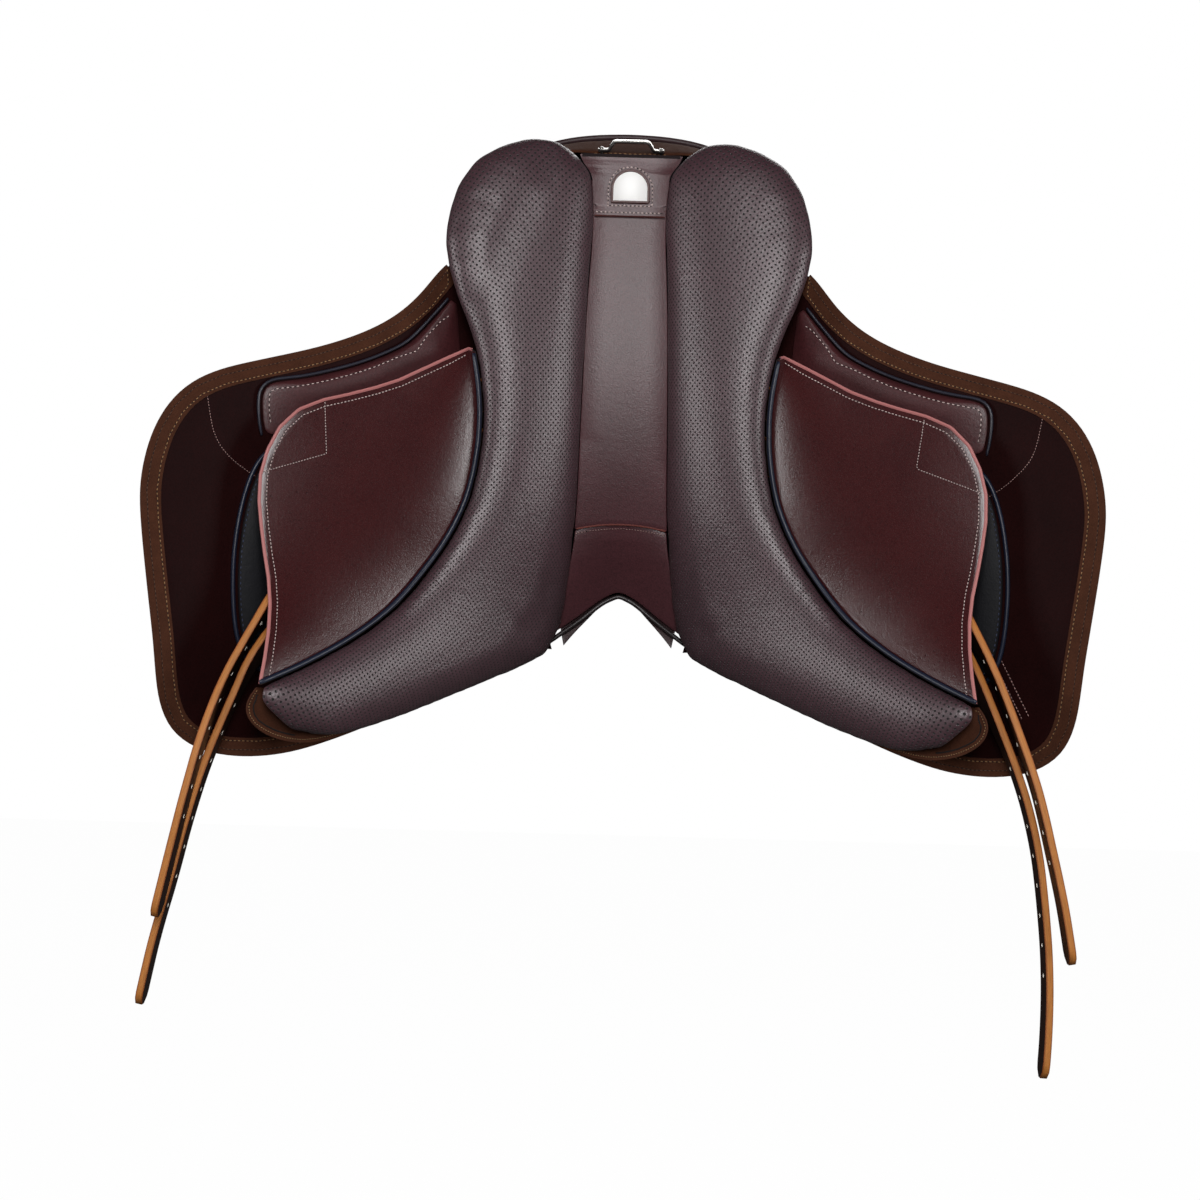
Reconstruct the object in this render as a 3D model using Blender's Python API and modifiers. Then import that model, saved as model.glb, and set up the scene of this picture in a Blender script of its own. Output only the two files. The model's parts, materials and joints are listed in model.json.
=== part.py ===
"""Endurance saddle, in metres.

The saddle stands nose down: +Z runs from pommel to cantle, +X to the saddle's
right as its underside is seen, and -Y is the side that lies on the horse.
The origin is on the symmetry plane, on the bearing surface of the panels.
"""

import math

import bmesh
import bpy
import numpy as np
from mathutils import Matrix, Vector

# Gaps between pieces
FIT = 0.0003
LAYER_GAP = 0.0009
SEAM_GAP = 0.0010

# Leather and padding
COVER_THICKNESS = 0.0025
FOAM_THICKNESS = 0.0180
TREE_THICKNESS = 0.0080
FLAP_THICKNESS = 0.0045
SWEAT_FLAP_THICKNESS = 0.0035
SKIRT_THICKNESS = 0.0030
STRIP_THICKNESS = 0.0025
FACING_THICKNESS = 0.0020
SKIRT_CLEARANCE = 0.0035

# Panel cushions: horse's back under them, and their stations from rear to toe
BACK_HEIGHT = ((-0.280, 0.045), (-0.200, 0.035), (-0.100, 0.010), (0.0, 0.0), (0.100, 0.004), (0.240, 0.020))
BACK_FALL = ((-0.280, 0.85), (-0.200, 0.78), (-0.100, 0.60), (0.0, 0.45), (0.100, 0.32), (0.240, 0.20))
BEARING_OFFSET = 0.090
CUSHION_DEPTH = 0.024
CUSHION_SQUARENESS = 2.6
CUSHION_SECTIONS = 28
CUSHION_SIDES = 14
# Each station: inner x, z, outer x, z, depth to the horse side, depth to the flap side
STATIONS = (
    (0.070, 0.247, 0.096, 0.249, 0.009, 0.012),
    (0.047, 0.232, 0.134, 0.235, 0.020, 0.029),
    (0.0385, 0.222, 0.1445, 0.227, 0.022, 0.0315),
    (0.035, 0.200, 0.160, 0.206, 0.024, 0.033),
    (0.034, 0.165, 0.172, 0.162, 0.024, 0.028),
    (0.036, 0.127, 0.170, 0.127, 0.024, 0.019),
    (0.038, 0.088, 0.158, 0.090, 0.024, 0.018),
    (0.039, 0.048, 0.142, 0.053, 0.024, 0.018),
    (0.040, 0.006, 0.133, 0.007, 0.024, 0.017),
    (0.041, -0.040, 0.132, -0.040, 0.024, 0.016),
    (0.042, -0.091, 0.141, -0.093, 0.024, 0.014),
    (0.045, -0.140, 0.158, -0.132, 0.024, 0.012),
    (0.051, -0.196, 0.178, -0.163, 0.024, 0.012),
    (0.067, -0.240, 0.203, -0.196, 0.024, 0.012),
    (0.110, -0.261, 0.226, -0.217, 0.024, 0.012),
    (0.160, -0.283, 0.249, -0.234, 0.023, 0.012),
    (0.214, -0.305, 0.272, -0.248, 0.021, 0.012),
    (0.261, -0.317, 0.292, -0.259, 0.018, 0.011),
    (0.292, -0.309, 0.307, -0.266, 0.013, 0.009),
    (0.314, -0.286, 0.315, -0.270, 0.006, 0.005),
)
PIPING_RADIUS = 0.0020

# Channel between the cushions
STRIP_REAR = 0.213
STRIP_FRONT = -0.119
STRIP_FRONT_BOW = 0.0055
LINING_BOW = 0.022
ARCH_WALL_START = 0.066
ARCH_EDGE = ((0.0, -0.1775), (0.019, -0.1855), (0.039, -0.2040), (0.062, -0.2285))
ARCH_BINDING_RADIUS = 0.0022
ARCH_BINDING_DROP = ARCH_BINDING_RADIUS + 2 * SEAM_GAP
CAP_TOP = 0.2365
CAP_BOTTOM = 0.178
CAP_WIDEST = 0.094
CAP_THICKNESS = 0.0025
CAP_LEVEL_FROM = 0.236
BADGE_WIDTH = 0.0346
BADGE_HEIGHT = 0.0298
BADGE_CENTRE = 0.2068
BADGE_THICKNESS = 0.0012

# Sweat flaps: outline from the panel seam round to the toe
SWEAT_OUTLINE = (
    (0.146, 0.045), (0.178, 0.028), (0.213, 0.009), (0.256, -0.006), (0.287, -0.016),
    (0.309, -0.035), (0.323, -0.066), (0.327, -0.098), (0.322, -0.141), (0.315, -0.177),
    (0.312, -0.208), (0.313, -0.240), (0.316, -0.268),
)
SWEAT_FALL = ((-0.280, 0.80), (-0.150, 0.50), (0.0, 0.42))
SWEAT_SEAM_REAR = 0.046

# Flaps: straight hinge line at z = 0, its slopes, and the outline from rear to front
HINGE_X = 0.125
HINGE_Y = 0.0526
HINGE_X_SLOPE = 0.262
HINGE_Y_SLOPE = -0.197
HINGE_REAR = 0.130
HINGE_FRONT = -0.235
FLAP_FALL = 0.48
FLAP_CURL = 0.20
FLAP_OUTLINE = (
    (0.162, 0.134), (0.172, 0.129), (0.179, 0.116), (0.192, 0.096), (0.223, 0.067), (0.270, 0.0435),
    (0.322, 0.0265), (0.370, 0.011), (0.400, -0.010), (0.420, -0.046), (0.429, -0.090), (0.428, -0.125),
    (0.421, -0.190), (0.415, -0.240), (0.411, -0.285), (0.399, -0.316), (0.374, -0.333),
    (0.343, -0.338), (0.306, -0.336), (0.261, -0.322), (0.214, -0.302), (0.160, -0.281),
    (0.110, -0.257), (0.075, -0.236),
)
BINDING_WIDTH = 0.0170
BINDING_THICKNESS = 0.0012

# Pads on the flap's horse side: inner edge and outer edge from rear to front
PAD_EDGE = 0.002
FLAP_PAD_DEPTH = 0.012
FLAP_PAD_INNER = ((0.160, 0.088), (0.156, 0.040), (0.157, 0.000), (0.166, -0.034))
FLAP_PAD_OUTER = (
    (0.166, 0.092), (0.179, 0.0755), (0.200, 0.051), (0.214, 0.041), (0.235, 0.030), (0.257, 0.021),
    (0.288, 0.0110), (0.308, 0.0065), (0.3200, 0.0045), (0.3280, 0.0005), (0.3305, -0.0080),
    (0.3305, -0.0220), (0.3290, -0.0350), (0.3270, -0.0450),
)
FLAP_PAD_STATIONS = 24
FLAP_PAD_PIPING_RADIUS = 0.0014
BLOCK_DEPTH = 0.010
BLOCK_INNER = ((0.240, -0.058), (0.222, -0.100), (0.228, -0.170), (0.262, -0.236))
BLOCK_OUTER = (
    (0.300, -0.056), (0.322, -0.060), (0.337, -0.089), (0.346, -0.135), (0.348, -0.180),
    (0.344, -0.226), (0.332, -0.252), (0.300, -0.262),
)

# Suede facing behind each panel toe
TOE_INNER = ((0.240, -0.300), (0.262, -0.299), (0.284, -0.289), (0.298, -0.274))
TOE_OUTER = (
    (0.244, -0.3140), (0.262, -0.3195), (0.284, -0.3220), (0.304, -0.3175), (0.318, -0.3095),
    (0.3265, -0.2980), (0.3275, -0.2850), (0.3200, -0.2720),
)
TOE_SETBACK = 0.016

# Seat: outline from rear to front, and heights along the middle and along the edge
SEAT_OUTLINE = (
    (0.0, 0.2745), (0.035, 0.273), (0.068, 0.2675), (0.100, 0.2545), (0.130, 0.234), (0.149, 0.204),
    (0.154, 0.169), (0.145, 0.132), (0.129, 0.103), (0.112, 0.080), (0.095, -0.0178),
    (0.0837, -0.083), (0.072, -0.150), (0.062, -0.167), (0.042, -0.178), (0.018, -0.183), (0.0, -0.184),
)
RIDGE_HEIGHT = (
    (-0.184, 0.163), (-0.179, 0.171), (-0.168, 0.175), (-0.150, 0.169), (-0.110, 0.147),
    (-0.060, 0.124), (-0.010, 0.112), (0.050, 0.106), (0.120, 0.107), (0.170, 0.114),
    (0.208, 0.127), (0.238, 0.149), (0.259, 0.171), (0.2745, 0.187),
)
EDGE_HEIGHT = (
    (-0.184, 0.163), (-0.179, 0.150), (-0.167, 0.130), (-0.150, 0.114), (-0.060, 0.104), (0.080, 0.0885),
    (0.130, 0.099), (0.170, 0.116), (0.208, 0.139), (0.234, 0.162), (0.2545, 0.177), (0.2745, 0.187),
)
FOAM_INSET = 0.0150
FOAM_GAP = 0.0036
TREE_INSET = 0.013
WELT_RADIUS = 0.0024
CANTLE_START = 0.095
POMMEL_START = -0.150

# Facings that close the seat's ends: how far in they lie, and how far they reach down
FACING_DROP = 0.0036
FACING_INSET = 0.0015
SHOULDER_INSET = 0.0045
SHOULDER_DROP = 0.034
FOOT_INSET = 0.0120
FOOT_TAIL = 0.022
FOOT_TAIL_HALF_WIDTH = 0.12
FOOT_LIFT = 0.030
FOOT_LIFT_AT_SIDE = 0.008
FOOT_LOWEST = 0.052

# Skirts, hung from the straight side of the seat
SKIRT_REAR = 0.078
SKIRT_FRONT = -0.132
SKIRT_LIFT = 0.011
SKIRT_BELLY = 0.012
SKIRT_OUTLINE = (
    (0.116, 0.080), (0.140, 0.069), (0.157, 0.040), (0.165, 0.000), (0.163, -0.050),
    (0.151, -0.098), (0.132, -0.136), (0.108, -0.150), (0.088, -0.146), (0.080, -0.132),
)

# Steel head plate with its screws
HEAD_PATH = (
    (0.104, 0.0675, -0.206), (0.085, 0.0770, -0.190), (0.062, 0.0910, -0.174), (0.034, 0.1140, -0.163),
    (0.0, 0.1250, -0.158),
)
HEAD_WIDTH = 0.022
HEAD_THICKNESS = 0.003
HEAD_SCREW_OFFSET = 0.014
HEAD_SCREW_RADIUS = 0.0025
HEAD_SCREW_HEAD = 0.0045
HEAD_SCREW_CAP = 0.003
HEAD_SCREW_SHANK = 0.018

# Stirrup bars and catches
BAR_FRONT = -0.142
BAR_REAR = -0.058
BAR_THICKNESS = 0.004
BAR_HEIGHT = 0.009
BAR_FRONT_Y = 0.0915
BAR_REAR_Y = 0.080
BAR_SLOT = 0.011
RIVET_RADIUS = 0.0016
RIVET_HEAD = 0.0034
RIVET_DEPTH = 0.008
PIN_RADIUS = 0.0016
PIN_CLEARANCE = 0.0003
PIN_SETBACK = 0.006
CATCH_LENGTH = 0.0105
CATCH_HEIGHT = 0.007
CATCH_THICKNESS = 0.0035

# Girth webs and straps
WEB_WIDTH = 0.034
WEB_THICKNESS = 0.0015
WEB_REAR_Z = 0.024
WEB_FRONT_Z = -0.024
WEB_END_X = 0.099
WEB_END_Y = 0.0530
WEB_GAP = 0.0018
WEB_OVER_EDGE = 0.003
WEB_TURN = 0.009
WEB_TURN_DROP = 0.006
STRAP_WIDTH = 0.026
STRAP_THICKNESS = 0.0066
STRAP_HOLE_RADIUS = 0.0019
STRAP_HOLE_PITCH = 0.027
STRAP_HOLE_COUNT = 8
STRAP_HOLE_START = 0.092
STRAP_ROOT_FACE = (0.53, -0.35, 0.77)
STRAP_HANGING_FACE = (0.03, -1.0, 0.03)
STRAP_TWIST_FROM = 0.30
STRAP_TWIST_TO = 0.60
# Route of each strap from its web to its tip, x on the strap's own side
STRAP_ROUTES = {
    "girth_strap_rear_left": (
        (0.110, 0.047, 0.024), (0.150, 0.022, -0.010), (0.200, 0.000, -0.062), (0.258, -0.030, -0.126),
        (0.298, -0.056, -0.173), (0.319, -0.073, -0.203), (0.347, -0.094, -0.258), (0.365, -0.113, -0.311),
        (0.378, -0.121, -0.364), (0.390, -0.122, -0.417), (0.403, -0.122, -0.476),
    ),
    "girth_strap_front_left": (
        (0.110, 0.047, -0.024), (0.148, 0.024, -0.058), (0.196, 0.006, -0.104), (0.250, -0.031, -0.165),
        (0.297, -0.064, -0.211), (0.325, -0.081, -0.244), (0.344, -0.087, -0.284), (0.365, -0.090, -0.338),
        (0.381, -0.090, -0.392), (0.394, -0.090, -0.446), (0.408, -0.090, -0.500), (0.420, -0.090, -0.5585),
    ),
    "girth_strap_rear_right": (
        (0.110, 0.047, 0.024), (0.150, 0.022, -0.010), (0.200, 0.000, -0.062), (0.256, -0.030, -0.126),
        (0.296, -0.056, -0.172), (0.314, -0.071, -0.199), (0.335, -0.087, -0.239), (0.355, -0.103, -0.291),
        (0.373, -0.113, -0.343), (0.386, -0.119, -0.395), (0.398, -0.122, -0.447), (0.407, -0.122, -0.496),
    ),
    "girth_strap_front_right": (
        (0.110, 0.047, -0.024), (0.148, 0.024, -0.058), (0.196, 0.006, -0.104), (0.248, -0.031, -0.160),
        (0.294, -0.064, -0.208), (0.316, -0.080, -0.241), (0.342, -0.087, -0.292), (0.3635, -0.090, -0.3445),
        (0.378, -0.090, -0.3975), (0.386, -0.090, -0.451), (0.391, -0.090, -0.504), (0.392, -0.090, -0.557),
        (0.390, -0.090, -0.6025),
    ),
}

# Rear staple on the cantle facing
STAPLE_HALF_SPAN = 0.0185
STAPLE_WIDTH = 0.0060
STAPLE_THICKNESS = 0.0030
STAPLE_RISE = 0.0120
STAPLE_FOOT = 0.0130
STAPLE_BEND = 0.0040
STAPLE_SPLAY = 0.0024
STAPLE_Y = 0.078
STAPLE_SCREW_RADIUS = 0.0013
STAPLE_SCREW_HEAD = 0.0027
STAPLE_SCREW_LENGTH = 0.0085

# Front dees and chapes
DEE_WIRE = 0.0018
DEE_WIDTH = 0.030
DEE_DROP = 0.024
DEE_CENTRE = (0.080, 0.1080, -0.175)
CHAPE_WIDTH = 0.020
CHAPE_LENGTH = 0.018
CHAPE_LEATHER = 0.0016

SIDES = (("left", -1.0), ("right", 1.0))

COLOURS = {
    "panel leather": ((0.080, 0.055, 0.065), 0.45, 0.0),
    "smooth leather": ((0.045, 0.018, 0.020), 0.38, 0.0),
    "flap leather": ((0.022, 0.008, 0.008), 0.45, 0.0),
    "suede": ((0.060, 0.026, 0.012), 0.90, 0.0),
    "piping": ((0.020, 0.024, 0.045), 0.45, 0.0),
    "black padding": ((0.008, 0.008, 0.012), 0.60, 0.0),
    "bridle leather": ((0.300, 0.120, 0.040), 0.45, 0.0),
    "webbing": ((0.300, 0.280, 0.220), 0.85, 0.0),
    "seat foam": ((0.550, 0.500, 0.380), 0.90, 0.0),
    "moulded tree": ((0.030, 0.030, 0.032), 0.50, 0.0),
    "bright steel": ((0.750, 0.750, 0.760), 0.18, 1.0),
    "plain plate": ((0.850, 0.850, 0.850), 0.40, 0.0),
}


def clear_scene():
    for old in list(bpy.data.objects):
        bpy.data.objects.remove(old, do_unlink=True)


def new_collection(name):
    collection = bpy.data.collections.new(name)
    bpy.context.scene.collection.children.link(collection)
    return collection


def material_for(name, finish):
    colour, roughness, metallic = COLOURS[finish]
    material = bpy.data.materials.new(name)
    material.use_nodes = True
    shader = material.node_tree.nodes["Principled BSDF"]
    shader.inputs["Base Color"].default_value = (*colour, 1.0)
    shader.inputs["Roughness"].default_value = roughness
    shader.inputs["Metallic"].default_value = metallic
    return material


def along(position, knots):
    """Smooth value at a position between (position, value) knots."""
    places = np.array([knot[0] for knot in knots])
    values = np.array([knot[1] for knot in knots])
    slopes = np.gradient(values, places)
    inside = np.clip(position, places[0], places[-1])
    i = int(np.clip(np.searchsorted(places, inside) - 1, 0, len(places) - 2))
    step = places[i + 1] - places[i]
    t = (inside - places[i]) / step
    lower = values[i] * (1 + 2 * t) * (1 - t) ** 2 + values[i + 1] * t * t * (3 - 2 * t)
    return lower + step * (slopes[i] * t * (1 - t) ** 2 - slopes[i + 1] * t * t * (1 - t))


def smooth(points, count):
    """Points evenly spaced by length on a Catmull-Rom curve through the given ones."""
    given = np.array(points, float)
    ends = np.vstack([2 * given[0] - given[1], given, 2 * given[-1] - given[-2]])
    fine = []
    for i in range(1, len(ends) - 2):
        before, start, end, after = ends[i - 1], ends[i], ends[i + 1], ends[i + 2]
        for t in np.linspace(0, 1, 12, endpoint=False):
            fine.append(
                0.5 * (2 * start + (end - before) * t + (2 * before - 5 * start + 4 * end - after) * t * t
                       + (3 * start - before - 3 * end + after) * t ** 3)
            )
    fine = np.vstack([fine, given[-1]])
    length = np.concatenate([[0], np.cumsum(np.linalg.norm(np.diff(fine, axis=0), axis=1))])
    places = np.linspace(0, length[-1], count)
    return np.column_stack([np.interp(places, length, fine[:, k]) for k in range(fine.shape[1])])


def offset_line(points, distance):
    """A flat line moved sideways, to the left of its direction."""
    direction = np.gradient(points, axis=0)
    direction /= np.linalg.norm(direction, axis=1)[:, None]
    return points + distance * np.column_stack([-direction[:, 1], direction[:, 0]])


def finish(bm, name, finish_name, collection, sharp=math.radians(40)):
    mesh = bpy.data.meshes.new(name)
    bm.to_mesh(mesh)
    bm.free()
    mesh.shade_smooth()
    mesh.set_sharp_from_angle(angle=sharp)
    mesh.materials.append(material_for(name, finish_name))
    obj = bpy.data.objects.new(name, mesh)
    collection.objects.link(obj)
    return obj


def shaped_grid(rows):
    """A grid of faces whose points are set from rows of coordinates."""
    rows = np.asarray(rows, float)
    bm = bmesh.new()
    bmesh.ops.create_grid(bm, x_segments=rows.shape[1] - 1, y_segments=rows.shape[0] - 1, size=1)
    bm.verts.ensure_lookup_table()
    for vertex, place in zip(bm.verts, rows.reshape(-1, 3)):
        vertex.co = place
    bmesh.ops.remove_doubles(bm, verts=bm.verts, dist=1e-6)
    return bm


def loft(name, rings, finish_name, collection, sharp=math.radians(40)):
    """A closed solid through rings of points, with flat ends."""
    closed = [list(ring) + [ring[0]] for ring in rings]
    bm = shaped_grid(closed)
    edges = [edge for edge in bm.edges if edge.is_boundary]
    bmesh.ops.holes_fill(bm, edges=edges, sides=0)
    bmesh.ops.recalc_face_normals(bm, faces=bm.faces)
    return finish(bm, name, finish_name, collection, sharp)


def sheet(name, rows, thickness, finish_name, collection, outward=(0, -1, 0)):
    """A sheet of leather: an open surface on its outer side, thickened behind it."""
    bm = shaped_grid(rows)
    bmesh.ops.recalc_face_normals(bm, faces=bm.faces)
    facing = sum(face.normal.dot(Vector(outward)) * face.calc_area() for face in bm.faces)
    if facing < 0:
        bmesh.ops.reverse_faces(bm, faces=bm.faces)
    obj = finish(bm, name, finish_name, collection)
    solidify = obj.modifiers.new("Thickness", "SOLIDIFY")
    solidify.thickness = thickness
    solidify.offset = -1
    return obj


def rod(name, points, radius, finish_name, collection, cyclic=False, resolution=1):
    """A round cord or wire along points."""
    data = bpy.data.curves.new(name, "CURVE")
    data.dimensions = "3D"
    data.bevel_depth = radius
    data.bevel_resolution = resolution
    data.use_fill_caps = True
    spline = data.splines.new("POLY")
    spline.points.add(len(points) - 1)
    for point, place in zip(spline.points, points):
        point.co = (*place, 1)
    spline.use_cyclic_u = cyclic
    data.materials.append(material_for(name, finish_name))
    obj = bpy.data.objects.new(name, data)
    collection.objects.link(obj)
    return obj


def cylinder(name, place, axis, radius, depth, finish_name, collection, sides=16):
    bm = bmesh.new()
    turn = Vector((0, 0, 1)).rotation_difference(Vector(axis)).to_matrix().to_4x4()
    bmesh.ops.create_cone(
        bm, cap_ends=True, segments=sides, radius1=radius, radius2=radius, depth=depth,
        matrix=Matrix.Translation(place) @ turn,
    )
    return finish(bm, name, finish_name, collection)


def turned(name, place, axis, profile, finish_name, parts, sides=12):
    """A turned piece from a profile of (radius, height along the axis), top to bottom."""
    turn = Vector((0, 0, 1)).rotation_difference(axis).to_matrix()
    rings = []
    for radius, height in profile:
        radius = max(radius, 0.0)
        rings.append([
            place + turn @ Vector((radius * math.cos(a), radius * math.sin(a), height))
            for a in np.linspace(0, 2 * math.pi, sides, endpoint=False)
        ])
    return loft(name, rings, finish_name, parts)


def cut(obj, name, place, axis, radius, depth, cutters, sides=12):
    """Bores a round hole with a cutter."""
    cutter = cylinder(name, place, axis, radius, depth, "bright steel", cutters, sides)
    cutter.hide_render = True
    cutter.display_type = "WIRE"
    boolean = obj.modifiers.new(name, "BOOLEAN")
    boolean.operation = "DIFFERENCE"
    boolean.object = cutter


def slab(name, rows, thickness, finish_name, collection):
    """A sheet or board between an upper surface and the same surface moved along Y."""
    rows = np.asarray(rows, float)
    below = rows - np.array([0, thickness, 0])
    rings = [
        np.vstack([rows[:, i], below[::-1, i]])
        for i in range(rows.shape[1])
    ]
    return loft(name, rings, finish_name, collection)


def fan(base, outline, height, rows, side):
    """Rows of points between two lines of (x, z), at a height given by x and z."""
    grid = []
    for t in np.linspace(0, 1, rows):
        flat = base * (1 - t) + outline * t
        grid.append([(side * x, height(x, z), z) for x, z in flat])
    return grid


def pillow_rings(inner, outer, back, depth, half, edge):
    """Rings round a pad that lies on a surface, rounded towards both edges."""
    rings = []
    count = len(inner)
    for i in range(count):
        lengthwise = math.sin(math.pi * (i + 0.5) / count) ** 0.35
        front_points = []
        back_points = []
        for t in np.linspace(0, 1, half):
            x, z = inner[i] * (1 - t) + outer[i] * t
            crown = max(1 - abs(2 * t - 1) ** 4, 0) ** 0.5 * lengthwise
            base = back(x, z)
            front_points.append((x, base - edge - (depth - edge) * crown, z))
            back_points.append((x, base, z))
        rings.append(front_points + back_points[::-1])
    return rings


def mirrored(rings, side):
    return [[(side * x, y, z) for x, y, z in ring] for ring in rings]


# Surfaces that several pieces share

def back_surface(x, z):
    return along(z, BACK_HEIGHT) - along(z, BACK_FALL) * (abs(x) - BEARING_OFFSET)


def seam_height(x, z):
    return back_surface(x, z) + CUSHION_DEPTH


SECTIONS = smooth(STATIONS, CUSHION_SECTIONS)
CHANNEL = SECTIONS[SECTIONS[:, 0] < ARCH_WALL_START][::-1]
SEAM_LINE = SECTIONS[:, 2:4]
SEAT = smooth(SEAT_OUTLINE, 60)


def channel_edge(z):
    rear_part = CHANNEL[CHANNEL[:, 1] < 0.246]
    return float(np.interp(z, rear_part[:, 1], rear_part[:, 0]))


def channel_height(z):
    return seam_height(channel_edge(z), z)


def seam_x(z):
    front_part = SEAM_LINE[SEAM_LINE[:, 1] < 0.10][::-1]
    return float(np.interp(z, front_part[:, 1], front_part[:, 0]))


def sweat_surface(x, z):
    edge = seam_x(z)
    return seam_height(edge, z) - along(z, SWEAT_FALL) * (x - edge)


def hinge_x(z):
    return HINGE_X + HINGE_X_SLOPE * z


def hinge_y(z):
    return HINGE_Y + HINGE_Y_SLOPE * z


def flap_surface(x, z):
    reach = max(x - hinge_x(z), 0.0)
    return hinge_y(z) - FLAP_FALL * reach - FLAP_CURL * reach * reach


def seat_edge(z):
    return float(np.interp(z, SEAT[::-1, 1], SEAT[::-1, 0]))


def seat_surface(x, z):
    across = abs(x) / max(seat_edge(z), 1e-4)
    middle = along(z, RIDGE_HEIGHT)
    return middle + (along(z, EDGE_HEIGHT) - middle) * min(across, 1.2) ** 2


def tree_surface(x, z):
    return seat_surface(x, z) - COVER_THICKNESS - FOAM_GAP - FOAM_THICKNESS - 2 * WEB_GAP - WEB_THICKNESS


# Panel

def panel_cushion(side_name, side, parts):
    rings = []
    for inner_x, inner_z, outer_x, outer_z, front, rear in SECTIONS:
        ring = []
        for k in range(CUSHION_SIDES):
            angle = 2 * math.pi * (k + 0.5) / CUSHION_SIDES
            power = 2 / CUSHION_SQUARENESS
            across = math.copysign(abs(math.cos(angle)) ** power, math.cos(angle))
            depth = math.copysign(abs(math.sin(angle)) ** power, math.sin(angle))
            t = 0.5 - 0.5 * across
            x = inner_x + (outer_x - inner_x) * t
            z = inner_z + (outer_z - inner_z) * t
            ring.append((side * x, seam_height(x, z) - depth * (front if depth > 0 else rear), z))
        rings.append(ring)
    return loft(f"panel_cushion_{side_name}", rings, "panel leather", parts)


def panel_piping(side_name, side, parts):
    seam = SEAM_LINE[SEAM_LINE[:, 1] < SWEAT_SEAM_REAR]
    line = offset_line(seam, PIPING_RADIUS + SEAM_GAP)
    points = []
    for x, z in line:
        y = sweat_surface(x, z) - PIPING_RADIUS - LAYER_GAP
        points.append((side * x, y, z))
    return rod(f"panel_piping_{side_name}", points, PIPING_RADIUS, "piping", parts)


def sweat_flap(side_name, side, parts):
    seam = SEAM_LINE[SEAM_LINE[:, 1] < SWEAT_SEAM_REAR]
    base = offset_line(seam, SEAM_GAP)
    outline = smooth(SWEAT_OUTLINE, len(base))
    rows = fan(base, outline, sweat_surface, 6, side)
    return slab(f"sweat_flap_{side_name}", rows, -SWEAT_FLAP_THICKNESS, "smooth leather", parts)


def channel_strip(parts):
    rows = []
    for z in np.linspace(STRIP_REAR, STRIP_FRONT, 16):
        nearness = max(0.0, 1 - (z - STRIP_FRONT) / 0.060)
        row = []
        for u in np.linspace(-1, 1, 7):
            lifted = z + STRIP_FRONT_BOW * nearness * (1 - u * u)
            row.append((u * (channel_edge(z) - SEAM_GAP), channel_height(z), lifted))
        rows.append(row)
    return sheet("channel_strip", rows, STRIP_THICKNESS, "smooth leather", parts)


def lining_point(u, t):
    start = STRIP_FRONT + STRIP_FRONT_BOW * (1 - u * u) - 3 * SEAM_GAP
    end = along(abs(u) * ARCH_EDGE[-1][0], ARCH_EDGE)
    z = start + (end - start) * t
    y = channel_height(z) + LINING_BOW * t * (1 - u * u)
    return (u * (channel_edge(z) - 2 * SEAM_GAP), y, z)


def arch_lining(parts):
    rows = [[lining_point(u, t) for u in np.linspace(-1, 1, 13)] for t in np.linspace(0, 1, 7)]
    return sheet("arch_lining", rows, STRIP_THICKNESS, "smooth leather", parts)


def arch_binding(parts):
    points = []
    for u in np.linspace(-0.95, 0.95, 17):
        x, y, z = lining_point(u, 1.0)
        points.append((x, y + STRIP_THICKNESS / 2, z - ARCH_BINDING_DROP))
    return rod("arch_binding", points, ARCH_BINDING_RADIUS, "suede", parts)


def cap_surface(z):
    return channel_height(min(z, CAP_LEVEL_FROM)) - CAP_THICKNESS - LAYER_GAP


def rear_cap(parts):
    rows = []
    for z in np.linspace(CAP_TOP, CAP_BOTTOM, 8):
        half = min(channel_edge(z) - 2 * SEAM_GAP, CAP_WIDEST / 2)
        rows.append([(u * half, cap_surface(z), z) for u in np.linspace(-1, 1, 5)])
    return sheet("rear_cap", rows, CAP_THICKNESS, "smooth leather", parts)


def badge_plate(parts):
    radius = BADGE_WIDTH / 2
    bottom = BADGE_CENTRE - BADGE_HEIGHT / 2
    shoulder = BADGE_CENTRE + BADGE_HEIGHT / 2 - radius
    arc = [(radius * math.cos(a), shoulder + radius * math.sin(a)) for a in np.linspace(0, math.pi, 13)]
    outline = [(-radius, bottom), (radius, bottom)] + arc
    low = min(cap_surface(z) for z in (bottom, shoulder + radius)) - LAYER_GAP
    rings = [[(x, low - depth, z) for x, z in outline] for depth in (0, BADGE_THICKNESS)]
    return loft("badge_plate", rings, "plain plate", parts)


def toe_facing(side_name, side, parts):
    inner = smooth(TOE_INNER, 14)
    outer = smooth(TOE_OUTER, 14)
    rows = fan(inner, outer, lambda x, z: seam_height(x, z) + TOE_SETBACK, 4, side)
    return sheet(f"toe_facing_{side_name}", rows, FACING_THICKNESS, "suede", parts)


# Flaps

def flap_base(count):
    z = np.linspace(HINGE_REAR, HINGE_FRONT, count)
    return np.column_stack([HINGE_X + HINGE_X_SLOPE * z, z])


def flap(side_name, side, parts):
    outline = offset_line(smooth(FLAP_OUTLINE, 36), -(BINDING_THICKNESS + SEAM_GAP))
    rows = fan(flap_base(36), outline, flap_surface, 5, side)
    return slab(f"flap_{side_name}", rows, -FLAP_THICKNESS, "flap leather", parts)


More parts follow.
